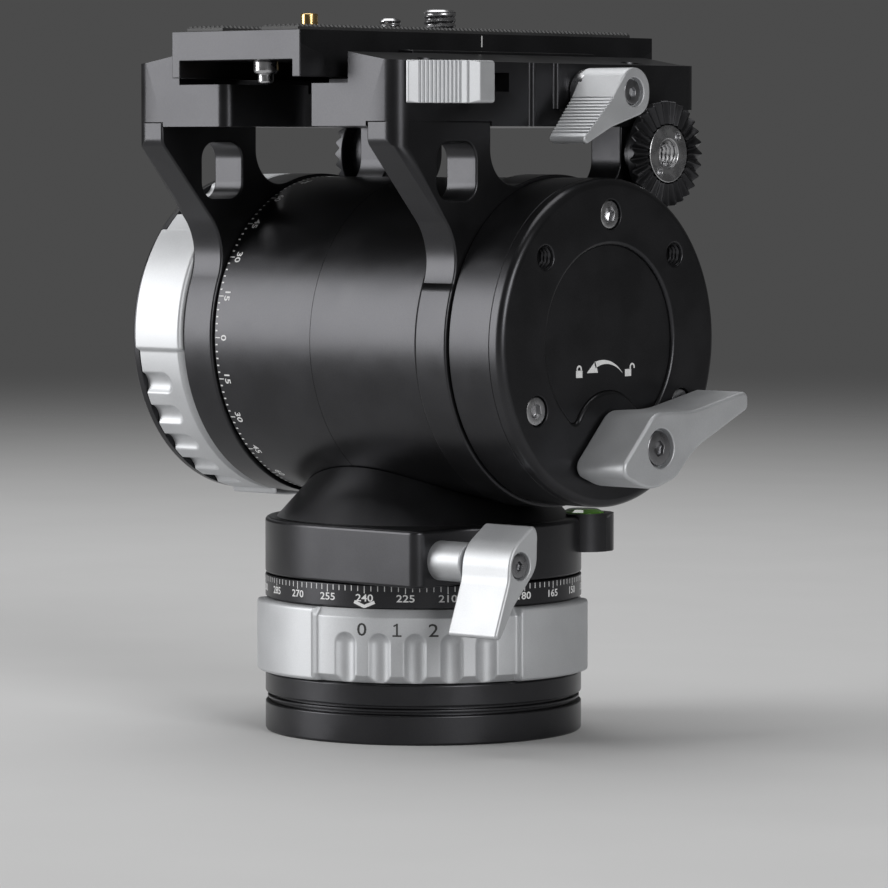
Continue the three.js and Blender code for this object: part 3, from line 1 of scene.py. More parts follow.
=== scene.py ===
# %% [markdown]
# A fluid video head, dressed for its portrait.
# The working model comes in first as a frame of plain solids, in metres, and nothing in it is moved.
# Everything after that is skin: smooth surfaces worked out with numpy, and finishes made of shader nodes.

# %% The frame
import json
import math
import bmesh
import bpy
import numpy as np
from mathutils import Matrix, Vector
from mathutils.geometry import tessellate_polygon

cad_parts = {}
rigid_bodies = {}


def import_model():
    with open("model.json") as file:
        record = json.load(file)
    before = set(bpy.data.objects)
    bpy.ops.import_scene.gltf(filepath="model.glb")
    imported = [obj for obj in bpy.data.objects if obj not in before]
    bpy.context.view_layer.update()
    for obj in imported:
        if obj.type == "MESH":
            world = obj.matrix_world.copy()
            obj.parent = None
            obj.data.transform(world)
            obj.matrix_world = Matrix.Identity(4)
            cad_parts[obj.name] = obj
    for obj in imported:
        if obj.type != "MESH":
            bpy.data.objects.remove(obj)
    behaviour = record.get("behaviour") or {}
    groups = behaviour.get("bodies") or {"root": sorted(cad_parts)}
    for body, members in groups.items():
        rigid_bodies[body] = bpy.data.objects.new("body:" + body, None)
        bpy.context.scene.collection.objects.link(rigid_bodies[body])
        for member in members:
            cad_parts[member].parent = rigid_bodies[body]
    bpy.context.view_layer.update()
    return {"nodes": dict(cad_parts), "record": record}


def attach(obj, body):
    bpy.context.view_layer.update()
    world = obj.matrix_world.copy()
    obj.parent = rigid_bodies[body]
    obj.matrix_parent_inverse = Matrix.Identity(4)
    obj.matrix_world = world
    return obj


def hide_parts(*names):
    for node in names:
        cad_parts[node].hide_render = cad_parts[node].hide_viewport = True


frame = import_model()
MM = 0.001  # every size below is in millimetres
BASE_RADIUS, DRUM_RADIUS, TILT_Z = 46, 46.3, 114  # the drum lies along x at the height TILT_Z
TILT_LOCK, PAN_LOCK, CLAMP, ROSETTE = (0, 85.1), (-36.3, 53.3), (8.7, 184.3), (40, 167)  # axes, as (y, z)

# %% [markdown]
# The camera stands where the photograph's camera stood: level with the upper part of the drum, well
# back, and turned a little less than halfway from the lens end to the lock levers. From there it
# looks at the point in the middle of the photograph, which tips it down by three and a half degrees.

# %% The camera
def aim_camera(azimuth, distance, height, lens, target):
    """Stands at (sin a, -cos a) times the distance, and looks at the middle of the photograph."""
    data = bpy.data.cameras.new("camera")
    data.lens, data.sensor_width = lens, 36
    data.clip_start, data.clip_end = 0.01, 50
    camera = bpy.data.objects.new("camera", data)
    a = math.radians(azimuth)
    camera.location = (distance * MM * math.sin(a), -distance * MM * math.cos(a), height * MM)
    sight = Vector(target) * MM - camera.location
    camera.rotation_euler = sight.to_track_quat("-Z", "Y").to_euler()
    bpy.context.scene.collection.objects.link(camera)
    bpy.context.scene.camera = camera
    print("camera pitch:", round(math.degrees(math.asin(sight.normalized().z)), 2), "degrees")


aim_camera(42.6, 1392.8, 167.3, 194.4, (4.42, 4.07, 82.7))

# %% [markdown]
# Black metal is drawn by what it reflects. The camera sees the lens side of the head in the mirror
# direction of its left, so a wide panel stands there: it draws the band of light along the drum and
# makes the front faces grey, while the faces that look to the right stay black. A smaller panel on
# the right lights the levers, and a large one overhead lights the floor.

# %% Light
def panel(name, place, target, size, brightness):
    """A rectangular lamp of size (w, h) in metres that faces its target.

    Its power is brightness times pi times its area, and a brightness of 1 is as bright as white."""
    data = bpy.data.lights.new(name, "AREA")
    data.shape, data.size, data.size_y = "RECTANGLE", size[0], size[1]
    data.energy = brightness * math.pi * size[0] * size[1]
    lamp = bpy.data.objects.new(name, data)
    lamp.location = place
    lamp.visible_camera = False
    lamp.rotation_euler = (lamp.location - target.location).to_track_quat("Z", "Y").to_euler()
    bpy.context.scene.collection.objects.link(lamp)
    print(name, "lamp:", round(data.energy, 1), "W")


middle = bpy.data.objects.new("light_target", None)
middle.location = (0, 0, 0.11)
bpy.context.scene.collection.objects.link(middle)
panel("front", (-1.7, -1.85, 0.58), middle, (1.28, 1.84), 6.7)
panel("right", (2.2, -0.8, 0.9), middle, (0.9, 1.25), 8.0)
panel("overhead", (-0.5, 0.12, 1.9), middle, (1.55, 1.95), 2.3)


# %% [markdown]
# Finishes are small programs of shader nodes. Written node by node they are hard to read, so this
# cell wraps a socket in a class whose arithmetic makes the Math nodes, and gives one method that
# makes any other node from its settings and inputs.

# %% Shader arithmetic
class Wire:
    """A socket that adds nodes when it is used in an expression."""

    def __init__(self, tree, socket):
        self.tree, self.socket = tree, socket

    def math(self, operation, *values):
        return Finish.node(self.tree, "ShaderNodeMath", {"operation": operation}, dict(enumerate(values)))

    def __add__(self, other):
        return self.math("ADD", self, other)

    def __radd__(self, other):
        return self.math("ADD", other, self)

    def __sub__(self, other):
        return self.math("SUBTRACT", self, other)

    def __rsub__(self, other):
        return self.math("SUBTRACT", other, self)

    def __mul__(self, other):
        return self.math("MULTIPLY", self, other)

    def __rmul__(self, other):
        return self.math("MULTIPLY", other, self)

    def ramp(self, low, high, start=0, end=1):
        """Moves the range low to high onto start to end, clamped and smooth."""
        settings = {"interpolation_type": "SMOOTHSTEP"}
        inputs = {"Value": self, "From Min": low, "From Max": high, "To Min": start, "To Max": end}
        return Finish.node(self.tree, "ShaderNodeMapRange", settings, inputs)


class Finish:
    """A material built round one Principled shader."""

    def __init__(self, name, **constants):
        self.material = bpy.data.materials.new(name)
        self.material.use_nodes = True
        self.tree = self.material.node_tree
        self.shader = self.tree.nodes["Principled BSDF"]
        for socket, value in constants.items():
            self.shader.inputs[socket.replace("_", " ")].default_value = value

    @staticmethod
    def node(tree, kind, settings=None, inputs=None, output=0):
        """One node: its settings first, then a value or a link for each named input."""
        made = tree.nodes.new(kind)
        for setting, value in (settings or {}).items():
            setattr(made, setting, value)
        for key, value in (inputs or {}).items():
            if isinstance(value, Wire):
                tree.links.new(value.socket, made.inputs[key])
            else:
                made.inputs[key].default_value = value
        return Wire(tree, made.outputs[output])

    def add(self, kind, settings=None, inputs=None, output=0):
        return Finish.node(self.tree, kind, settings, inputs, output)

    def place(self):
        """Object coordinates, in metres."""
        return self.add("ShaderNodeTexCoord", output="Object")

    def noise(self, size_mm, detail=2.0):
        """Noise whose lumps are about size_mm across."""
        return self.add("ShaderNodeTexNoise", {"noise_dimensions": "3D"},
                        {"Vector": self.place(), "Scale": 1 / (size_mm * MM), "Detail": detail})

    def mix(self, factor, first, second):
        return self.add("ShaderNodeMix", {"data_type": "RGBA"}, {0: factor, 6: first, 7: second}, output=2)

    def bump(self, height, strength, distance_mm):
        return self.add("ShaderNodeBump", None,
                        {"Height": height, "Strength": strength, "Distance": distance_mm * MM})

    def to(self, socket, wire):
        self.tree.links.new(wire.socket, self.shader.inputs[socket])
        return self


# %% [markdown]
# Nearly every black piece is aluminium, blasted with fine beads and then anodised. Blasting leaves a
# grain a few tenths of a millimetre across that only shows as a slight shimmer, so it is a very
# shallow bump and a small change of roughness. Handling leaves larger, fainter clouds.

# %% Anodised aluminium
def anodised(name, dark, light, metallic, roughness, grain=0.012):
    f = Finish(name, Metallic=metallic, IOR=1.5)
    fine, clouds = f.noise(0.28, 3), f.noise(14, 2)
    shade = fine.ramp(0.3, 0.7, 0.25, 0.6) + clouds.ramp(0.35, 0.65, 0, 0.3)
    f.to("Base Color", f.mix(shade, dark, light))
    f.to("Roughness", clouds.ramp(0.3, 0.7, roughness - 0.03, roughness + 0.03) + fine * 0.04)
    f.to("Normal", f.bump(fine, 0.35, grain))
    return f.material


black_anodised = anodised("black_anodised", (0.036, 0.036, 0.038, 1), (0.056, 0.056, 0.060, 1), 0.9, 0.3)
silver_anodised = anodised("silver_anodised", (0.5, 0.51, 0.525, 1), (0.62, 0.63, 0.645, 1), 0.7, 0.5)

# %% [markdown]
# The screws are bare metal, where slow clouds a few millimetres across change the shade and the
# polish a little. Rubber and the brake discs inside are grained like the anodised pieces, but they
# aren't metallic. Each solid of the frame gets the finish that its record names.

# %% Bare metals, rubber and liquid
def metal(name, dark, light, roughness):
    f = Finish(name, Metallic=1.0)
    clouds = f.noise(3.0, 3)
    f.to("Base Color", f.mix(clouds, dark, light))
    f.to("Roughness", clouds.ramp(0.3, 0.7, roughness - 0.05, roughness + 0.06))
    f.to("Normal", f.bump(clouds, 0.2, 0.01))
    return f.material


steel = metal("steel", (0.42, 0.42, 0.43, 1), (0.6, 0.6, 0.61, 1), 0.27)
screw_steel = metal("screw_steel", (0.2, 0.2, 0.21, 1), (0.32, 0.32, 0.33, 1), 0.32)
gold = metal("gold_pin", (0.62, 0.42, 0.16, 1), (0.8, 0.57, 0.26, 1), 0.2)
rubber = anodised("rubber", (0.025, 0.025, 0.026, 1), (0.045, 0.045, 0.046, 1), 0.0, 0.5, 0.02)
friction_disc = anodised("friction_disc", (0.1, 0.085, 0.07, 1), (0.2, 0.18, 0.15, 1), 0.0, 0.8, 0.03)
liquid = Finish("level_liquid", Roughness=0.05, Coat_Weight=1.0)
liquid.to("Base Color", liquid.mix(liquid.noise(2.5), (0.32, 0.6, 0.06, 1), (0.42, 0.75, 0.1, 1)))
by_slot = dict(
    black_anodised=black_anodised, silver_anodised=silver_anodised, steel=steel, rubber=rubber, gold_pin=gold,
    friction_disc=friction_disc, level_liquid=liquid.material)
for row in frame["record"]["subparts"]:
    skin = frame["nodes"][row["node"]].data
    skin.materials.clear()
    skin.materials.append(by_slot[row["material_slot"]])
print("finishes:", len(bpy.data.materials))

# %% [markdown]
# The floor is a pale disc under a grey world. Its far part fades out, so that there is no horizon:
# the floor's alpha is a smooth step of the distance from the head.

# %% Floor and world
def pale_floor():
    """A disc: radius times (cos, sin) of the turn, flat at the base's foot."""
    turn = np.linspace(0, 2 * np.pi, 96, endpoint=False)
    rim = np.stack([3 * np.cos(turn), 3 * np.sin(turn), 0 * turn], 1)
    mesh = bpy.data.meshes.new("floor")
    mesh.from_pydata(rim.tolist(), [], [list(range(len(rim)))])
    floor = bpy.data.objects.new("floor", mesh)
    f = Finish("floor_paper", Roughness=0.9)
    f.to("Base Color", f.mix(f.noise(60, 2), (0.62, 0.62, 0.62, 1), (0.66, 0.66, 0.66, 1)))
    away = f.add("ShaderNodeVectorMath", {"operation": "LENGTH"}, {0: f.place()}, output="Value")
    f.to("Alpha", away.ramp(2.4, 0.5))
    mesh.materials.append(f.material)
    bpy.context.scene.collection.objects.link(floor)


pale_floor()
world = bpy.data.worlds.new("grey_world")
bpy.context.scene.world = world
world.use_nodes = True
world.node_tree.nodes["Background"].inputs["Color"].default_value = (0.07, 0.07, 0.07, 1)
bpy.context.scene.view_settings.view_transform = "Standard"

# %% [markdown]
# Machined parts are never sharp, and a sharp corner catches no light. So every profile and every
# outline here is a list of corners with a radius each, and this function turns it into a smooth line
# together with the direction that its surface faces at each point.

# %% Rounded outlines
def rounded(corners, steps=6):
    """Points and outward normals of a closed outline of [u, v, radius] corners, counter-clockwise.

    At a corner the unit vectors a and b point to its neighbours, and h is half the angle between
    them. The arc starts r / tan(h) along a, ends as far along b, and its centre lies r / sin(h) from
    the corner on their bisector. Points on it are turned from start to end by equal angles. Where the
    outline runs straight on, the bisector is the direction into the metal."""
    table = np.array([(list(c) + [0.0])[:3] for c in corners], float)
    p, r = table[:, :2], np.maximum(table[:, 2], 0.02)[:, None]
    area = np.sum(p[:, 0] * np.roll(p[:, 1], -1) - p[:, 1] * np.roll(p[:, 0], -1))
    if area < 0:
        return rounded(corners[::-1], steps)
    a, b = np.roll(p, 1, 0) - p, np.roll(p, -1, 0) - p
    a /= np.linalg.norm(a, axis=1, keepdims=True)
    b /= np.linalg.norm(b, axis=1, keepdims=True)
    half = np.arccos(np.clip(np.sum(a * b, 1), -1, 1))[:, None] / 2
    length = np.linalg.norm(a + b, axis=1, keepdims=True)
    straight = length < 1e-6
    mid = np.where(straight, np.stack([-b[:, 1], b[:, 0]], 1), (a + b) / np.where(straight, 1, length))
    centre = p + mid * r / np.sin(half)
    start = p + a * r / np.tan(half) - centre
    end = p + b * r / np.tan(half) - centre
    sweep = np.pi - 2 * half
    t = np.linspace(0, 1, steps + 1)[None, :, None]
    turn = np.maximum(sweep[:, None, :], 1e-6)
    arc = (np.sin((1 - t) * turn) * start[:, None] + np.sin(t * turn) * end[:, None]) / np.sin(turn)
    convex = np.where(a[:, 0] * b[:, 1] - a[:, 1] * b[:, 0] < 1e-9, 1.0, -1.0)[:, None, None]
    points = (centre[:, None] + arc).reshape(-1, 2)
    normals = (convex * arc / r[:, None]).reshape(-1, 2)
    return points, normals


# %% [markdown]
# Some outlines are easier to say as arcs than as corners, such as the face disc with its bite. This
# function strings arcs together and says on which side of each arc the metal is.

# %% Outlines from arcs
def arcs(*pieces, per_turn=96):
    """Points and outward normals of arcs (centre, radius, start, end, side), with angles in radians.

    The point at angle a is centre + radius (cos a, sin a). The metal lies inside for side 1, and
    outside for side -1, where the normal turns round. A radius of 0 gives the centre itself."""
    points, normals = [], []
    for centre, radius, start, end, side in pieces:
        n = max(2, math.ceil(abs(end - start) / (2 * math.pi) * per_turn) + 1)
        a = np.linspace(start, end, n)
        way = np.stack([np.cos(a), np.sin(a)], 1)
        points.append(np.array(centre, float) + radius * way)
        normals.append(side * way)
    return np.vstack(points), np.vstack(normals)


def circle(radius, centre=(0, 0), count=64):
    """Points and normals of a circle, counter-clockwise."""
    t = np.linspace(0, 2 * np.pi, count, endpoint=False)
    way = np.stack([np.cos(t), np.sin(t)], 1)
    return np.array(centre, float) + radius * way, way


# %% [markdown]
# Three ways of making a skin cover almost the whole head. A turned piece carries a profile round an
# axis. A milled piece is an outline with a thickness, soft edges and any number of holes. A formed
# piece is a grid of points from a formula. All of them end in the same function, which puts the
# points into a mesh in metres and says which body the piece rides on.

# %% Making a piece
across = [2, 0, 1]  # a shape drawn as (y, z, x) read back as (x, y, z)


def make_piece(name, body, finish, points, faces, normals=None, stands_for=(), slot=None, crease=35):
    """One object from points in mm and faces, its normals given or smoothed below the crease angle.

    Stands_for names the solids that it covers."""
    mesh = bpy.data.meshes.new(name)
    mesh.from_pydata((np.asarray(points) * MM).tolist(), [], faces)
    mesh.validate()
    mesh.shade_smooth()
    if normals is None:
        mesh.set_sharp_from_angle(angle=math.radians(crease))
    else:
        mesh.normals_split_custom_set_from_vertices(np.asarray(normals).tolist())
    mesh.materials.append(finish)
    piece = bpy.data.objects.new(name, mesh)
    bpy.context.scene.collection.objects.link(piece)
    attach(piece, body)
    slot or slot_of(finish)
    if stands_for:
        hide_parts(*stands_for)
    print(name, "on", body + ":", len(faces), "faces")


def slot_of(finish):
    """The record's material slot for a finish. A finish of no slot is a screw's."""
    return next((slot for slot, made in by_slot.items() if made is finish), "steel")


def grid_faces(rows, columns, wrap_rows=True, wrap_columns=True, start=0):
    """Quads of a grid of rows x columns points, joined end to start where it wraps."""
    r = np.arange(rows if wrap_rows else rows - 1)[:, None]
    c = np.arange(columns if wrap_columns else columns - 1)[None, :]
    r2, c2 = (r + 1) % rows, (c + 1) % columns
    quads = np.stack([r * columns + c, r2 * columns + c, r2 * columns + c2, r * columns + c2], -1)
    return quads.reshape(-1, 4) + start


def facing_out(points, faces):
    """Turns the faces round if the volume that they close is negative."""
    q = np.asarray(points)[faces]
    volume = np.einsum("ij,ij->i", q[:, 0], np.cross(q[:, 1], q[:, 2])).sum()
    volume += np.einsum("ij,ij->i", q[:, 0], np.cross(q[:, 2], q[:, 3])).sum()
    return faces if volume > 0 else faces[:, ::-1]


def ring_rows(t, rows):
    """Rings of (radius, height) pairs, as columns of a grid over the turn t."""
    table = np.array(rows, float)
    return np.stack([table[:, 0] * np.cos(t), table[:, 0] * np.sin(t), table[:, 1] + 0 * t], -1)


def formed(name, body, finish, grid, wrap_columns=True, arrange=None, **kept):
    """A grid (rows, columns, 3) of points whose rows run round, moved by arrange if it is given."""
    points = grid.reshape(-1, 3) if arrange is None else arrange(grid.reshape(-1, 3))
    faces = facing_out(points, grid_faces(*grid.shape[:2], wrap_columns=wrap_columns))
    make_piece(name, body, finish, points, faces.tolist(), **kept)


def turned(name, body, finish, profile, axis="z", centre=(0, 0, 0), count=160, steps=4, **kept):
    """A closed profile of [radius, height, corner radius] carried round an axis.

    Point = (r cos t, r sin t, h), and the profile's own normal turns with it. A profile that reaches the
    axis stops at a radius of 0.02, which closes the pole to the eye."""
    line, face = rounded(profile, steps)
    t = np.linspace(0, 2 * np.pi, count, endpoint=False)[:, None]
    points = np.stack([line[:, 0] * np.cos(t), line[:, 0] * np.sin(t), line[:, 1] + 0 * t], -1)
    normals = np.stack([face[:, 0] * np.cos(t), face[:, 0] * np.sin(t), face[:, 1] + 0 * t], -1)
    points, normals = points.reshape(-1, 3), normals.reshape(-1, 3)
    if axis == "x":
        points, normals = points[:, across], normals[:, across]
    faces = facing_out(points, grid_faces(count, len(line)))
    points = points + np.array(centre, float)
    make_piece(name, body, finish, points, faces.tolist(), normals, **kept)


class Shell:
    """Points, normals and faces of a milled piece as they are collected, drawn along z.

    The shape, if there is one, moves the points and normals of a level once more."""

    def __init__(self, shape=None):
        self.points, self.normals, self.faces, self.count = [], [], [], 0
        self.shape = shape or (lambda points, normals: (points, normals))

    def wall(self, line, face, levels):
        """Stacks a loop at (inset, height, lean) levels and joins them. Returns the end loops."""
        n = len(line)
        for inset, height, lean in levels:
            inset, height, lean = (np.broadcast_to(np.asarray(v, float), (n,)) for v in (inset, height, lean))
            points = np.column_stack([line - face * inset[:, None], height])
            normals = np.column_stack([face * np.cos(lean)[:, None], np.sin(lean)])
            for kept, made in zip((self.points, self.normals), self.shape(points, normals)):
                kept.append(made)
        k = np.arange(n)
        k2 = (k + 1) % n
        for i in range(len(levels) - 1):
            a, b = self.count + i * n, self.count + (i + 1) * n
            self.faces.extend(np.stack([a + k, a + k2, b + k2, b + k], 1).tolist())
        ends = (self.count, n), (self.count + (len(levels) - 1) * n, n)
        self.count += n * len(levels)
        return ends

    def cap(self, loops, upward):
        """Fills a flat face between loops of points."""
        places = np.vstack(self.points)
        index = np.concatenate([np.arange(first, first + n) for first, n in loops])
        flat = [[(x, y, 0.0) for x, y in places[first:first + n, :2]] for first, n in loops]
        tris = np.array([[int(index[i]) for i in tri] for tri in tessellate_polygon(flat)])
        a, b, c = (places[tris[:, i], :2] for i in range(3))
        turn = (b[:, 0] - a[:, 0]) * (c[:, 1] - a[:, 1]) - (b[:, 1] - a[:, 1]) * (c[:, 0] - a[:, 0])
        wrong = (turn > 0) != upward
        tris[wrong] = tris[wrong][:, ::-1]
        self.faces.extend(tris.tolist())


def quarter(edge, height, way, steps):
    """Levels of a rounded edge at a face: up to it for way 1, and down to it for way -1."""
    f = np.linspace(0, np.pi / 2, steps + 1)
    levels = [(edge * (1 - math.cos(v)), height - way * edge * (1 - math.sin(v)), way * v) for v in f]
    return levels if way > 0 else levels[::-1]


def milled(name, body, finish, outer, low, high, holes=(), axis="z", edge=0.6, low_edge=None, steps=4,
           centre=(0, 0, 0), arrange=None, shape=None, between=(), flip=False, **kept):
    """An outline with soft edges and holes, from low to high, with more levels in between if asked.

    A wall follows its outline, and near a face it leans into the metal as a quarter circle: inset
    e (1 - cos f) at height e (1 - sin f) from the face. The edge e is a number, or one per point.
    A hole is (outline, depth, edge), with depth None for one that goes right through. A blind hole
    ends in a small hollow fillet. The flat faces are filled between the loops. Flip mirrors x."""
    shell = Shell(shape)
    low_edge = edge if low_edge is None else low_edge
    middle = [(0, height, 0) for height in between]
    first, last = shell.wall(*outer, quarter(low_edge, low, -1, steps) + middle + quarter(edge, high, 1, steps))
    bottom, top, floors = [first], [last], []
    hollow = 0.15
    for (line, face), depth, hole_edge in holes:
        line, face = line[::-1], -face[::-1]
        if depth is None:
            levels = quarter(hole_edge, low, -1, steps) + quarter(hole_edge, high, 1, steps)
        else:
            g = np.linspace(np.pi / 2, 0, 3)
            floor = high - depth + hollow
            levels = [(-hollow * (1 - math.cos(v)), floor - hollow * math.sin(v), v) for v in g]
            levels += quarter(hole_edge, high, 1, steps)
        first, last = shell.wall(line, face, levels)
        top.append(last)
        (bottom if depth is None else floors).append(first)
    shell.cap(bottom, False)
    shell.cap(top, True)
    for floor in floors:
        shell.cap([floor], True)
    points, normals = np.vstack(shell.points), np.vstack(shell.normals)
    if axis == "x":
        points, normals = points[:, across], normals[:, across]
    if arrange is not None:
        points, normals = arrange(points), arrange(normals)
    faces = shell.faces
    if flip:
        points, normals = points * [-1, 1, 1], normals * [-1, 1, 1]
        faces = [f[::-1] for f in faces]
    make_piece(name, body, finish, points + np.array(centre, float), faces, normals, **kept)


# %% [markdown]
# The base is a stack of turned rings. The lowest has a groove with a thin rib in it, where a lock
# screw's tip can bite, and the next carries the drag ring above it.

# %% Base rings
turned("base_foot", "pan_base", black_anodised,
       [(4.8, 0, 0.3), (BASE_RADIUS, 0, 0.8), (BASE_RADIUS, 8.5, 0.5), (44.2, 8.5, 0.2), (44.2, 9.3, 0.2),
        (45.4, 9.3, 0.3), (45.4, 10.2, 0.3), (44.2, 10.2, 0.2), (44.2, 11, 0.1), (4.8, 11, 0.3)],
       stands_for=["base_flange"])
for name, node, low, high, edge in (("base_ring", "base_collar", 11, 17.3, 0.6),
                                    ("scale_ring", "pan_scale_ring", 38.9, 45.5, 0.4)):
    turned(name, "pan_base", black_anodised,
           [(13, low, 0.3), (BASE_RADIUS, low, edge), (BASE_RADIUS, high, edge), (13, high, 0.3)],
           stands_for=[node])


# %% [markdown]
# The drag dials are the most sculpted pieces. Each is a ring with three raised pads and, between
# them, stretches of finger flutes. The whole outer surface is one function, radius of turn and
# height: the ring, plus the pads where a smooth step says so, less the flutes, which are upright
# cylinders with round ends.

# %% Drag dials
def dial_surface(zone, count=900):
    """Radius over turn and height, as points of a closed ring. Zone is the middle flute's turn, in degrees.

    ring: 47.1, sloping to 45.4 over the top 2.4 and to 45.4 over the bottom 2.1. pads: 48.5 within
    22.5 degrees of their middles. flute: for an axis at distance d and turn offset D,
    r = d cos D - sqrt(q^2 - d^2 sin^2 D), with q shrinking as a half sphere above its straight part.
    The flutes are deeper than the bottom slope, so they run out through it in a round end."""
    pad, ring, slope, deep, q, spacing = 48.5, 47.1, 1.7, 1.75, 3.9, 12.6
    z = np.concatenate([np.linspace(0, 2.3, 14), np.linspace(2.6, 8, 8), np.linspace(8.4, 10.8, 5),
                        np.linspace(11, 15, 30), np.linspace(15.4, 18.3, 5), np.linspace(18.5, 21, 14)])
    t = np.linspace(0, 2 * np.pi, count, endpoint=False)[:, None]

    def round_end(size, start, end):
        """How far a quarter circle of that size has drawn the surface in, from start to end."""
        s = np.clip((z - start) / (end - start), 0, 1)
        return size * (1 - np.sqrt(1 - s * s))

    def offset(angles):
        return np.abs((t[..., None] - np.radians(angles) + np.pi) % (2 * np.pi) - np.pi).min(-1)

    low_pad = pad - round_end(1.1, 1.1, 0) - round_end(1.1, 19.9, 21)
    low_ring = ring - slope * (np.clip((2.1 - z) / 2.1, 0, 1) + np.clip((z - 18.6) / 2.4, 0, 1))
    inside = 48 * (np.radians(22.5) - offset(zone + 60 + 120 * np.arange(3)))
    s = np.clip(inside / 1.3 + 0.5, 0, 1)
    r = low_ring + (low_pad - low_ring) * s * s * (3 - 2 * s)
    d = ring - deep + q
    off = offset((zone + 120 * np.arange(3)[:, None] + spacing * (np.arange(5) - 2)).ravel())
    reach = np.clip(z - 11.1, 0, None)
    square = q * q - reach * reach - (d * np.sin(off)) ** 2
    groove = np.where((square > 0) & (off < 0.2), d * np.cos(off) - np.sqrt(np.maximum(square, 0)), 99.0)
    soft = 0.3
    h = np.clip(0.5 + 0.5 * (groove - r) / soft, 0, 1)
    r = np.where(groove > 90, r, groove * (1 - h) + r * h - soft * h * (1 - h))
    outer = np.stack([r * np.cos(t), r * np.sin(t), z + 0 * t], -1)
    bore = np.array([[41.4, 21.0], [41.4, 0.0]])
    inner = np.stack([bore[:, 0] * np.cos(t), bore[:, 0] * np.sin(t), bore[:, 1] + 0 * t], -1)
    return np.concatenate([outer, inner], 1)


def about_tilt_axis(p):
    """Lays a dial down. Its lid covers the outer end, so there the slope is squeezed to a narrow edge."""
    x = np.interp(p[:, 2], [0, 3.2, 21], [-70.1, -69.5, -51.8])
    return np.stack([x, p[:, 1], TILT_Z - p[:, 0]], 1)


formed("pan_dial_ring", "pan_dial", silver_anodised, dial_surface(-50.2), arrange=lambda p: p + [0, 0, 17.6],
       stands_for=["pan_drag_dial"], crease=50)
formed("tilt_dial_ring", "tilt_dial", silver_anodised, dial_surface(-47.5), arrange=about_tilt_axis,
       stands_for=["tilt_drag_dial"], crease=50)

# %% [markdown]
# Above the scale stands the pan housing, a disc with a square shoulder for the pan lock. Its outline
# is the disc's arc, then the shoulder's two sides with a rounded corner between them.

# %% Pan housing
boss, corner = 40, 3.5
housing_outline = arcs(
    ((0, 0), BASE_RADIUS, math.asin(boss / BASE_RADIUS) - math.pi / 2, 1.5 * math.pi, 1),
    ((boss - corner, corner - BASE_RADIUS), corner, -math.pi / 2, 0, 1),
    per_turn=128)
milled("pan_housing_body", "pan_head", black_anodised, housing_outline, 45.8, 62.0, edge=1.2, low_edge=0.8,
       stands_for=["pan_housing"])


# %% [markdown]
# The neck is a cone that is cut to a saddle by the drum. It stands inside the housing's edge. At
# turn t the cone z = 62 + (42.6 - r) / 0.9 meets the cylinder of radius 46.6 about the tilt axis,
# (z - 114)^2 + (r sin t)^2 = 46.6^2, which is a square equation for r.

# %% Neck
def neck(count=160, rows=24):
    """Columns run from the foot to the saddle's rim, then over the saddle to the middle."""
    t = np.linspace(0, 2 * np.pi, count, endpoint=False)[:, None]
    foot, slope = 42.6, 0.9
    below = 62 + foot / slope - TILT_Z
    a, b, c = 1 / slope ** 2 + np.sin(t) ** 2, -2 * below / slope, below ** 2 - 46.6 ** 2
    rim = np.maximum((-b + np.sqrt(b * b - 4 * a * c)) / (2 * a), 26)
    k = np.linspace(0, 1, rows)[None, :]
    wall = foot + (rim - foot) * k
    inner = rim * np.linspace(0.98, 0.3, 12)[None, :]
    saddle = TILT_Z - np.sqrt(46.6 ** 2 - (inner * np.sin(t)) ** 2)
    r = np.concatenate([wall, inner], 1)
    z = np.concatenate([62 + (foot - wall) / slope, np.minimum(saddle, 80)], 1)
    skin = np.stack([r * np.cos(t), r * np.sin(t), z], -1)
    inside = ring_rows(t, [(14, 68), (14, 61.6), (foot, 61.6)])
    formed("neck_cone", "pan_head", black_anodised, np.concatenate([skin, inside], 1),
           stands_for=["neck_saddle"], crease=40)


neck()

# %% [markdown]
# The drum's two halves, the lock housing and the cover of the tilt dial are turned about the tilt
# axis. Their edges are broken by a few tenths, which is what draws the fine bright lines between
# neighbouring pieces.

# %% Drum
tilt_centre = (0, 0, TILT_Z)
for name, node, profile in (
        ("drum_left_shell", "drum_left",
         [(30, -39.7, 0.3), (DRUM_RADIUS, -39.7, 0.6), (DRUM_RADIUS, -1.24, 0.06), (30, -1.24, 0.06)]),
        ("drum_right_shell", "drum_right",
         [(30, -1.16, 0.06), (DRUM_RADIUS, -1.16, 0.06), (DRUM_RADIUS, 39.7, 0.6), (30, 39.7, 0.3)]),
        ("lock_housing_ring", "lock_housing",
         [(15, 51.8, 0.3), (DRUM_RADIUS, 51.8, 0.6), (DRUM_RADIUS, 66.85, 0.15), (15, 66.85, 0.2)]),
        ("tilt_dial_lid", "tilt_dial_cover",
         [(0.02, -70.2, 0), (47.0, -70.2, 0.2), (47.0, -72.8, 0.9), (4.3, -72.8, 0.4), (3.4, -71.9, 0.2),
          (0.02, -71.9, 0)])):
    turned(name, "pan_head", black_anodised, profile, axis="x", centre=tilt_centre, count=224,
           stands_for=[node])

# %% [markdown]
# The end cap closes the drum. It is one disc with a generous rounded rim, and into its face are cut
# three seats for cap screws, two threaded holes and the recess of a round face disc. Both have a bite
# where the lock lever's hub stands, and the recess has a broad rounded edge that catches the light.

# %% End cap and face disc
def at_turn(radius, degrees, centre=(0, 0)):
    a = math.radians(degrees)
    return centre[0] + radius * math.cos(a), centre[1] + radius * math.sin(a)


lock_down = TILT_LOCK[1] - TILT_Z
bolt_places = [at_turn(36, a) for a in (90, 210, 330)]
thread_places = [at_turn(37, a) for a in (41.2, 138.8)]


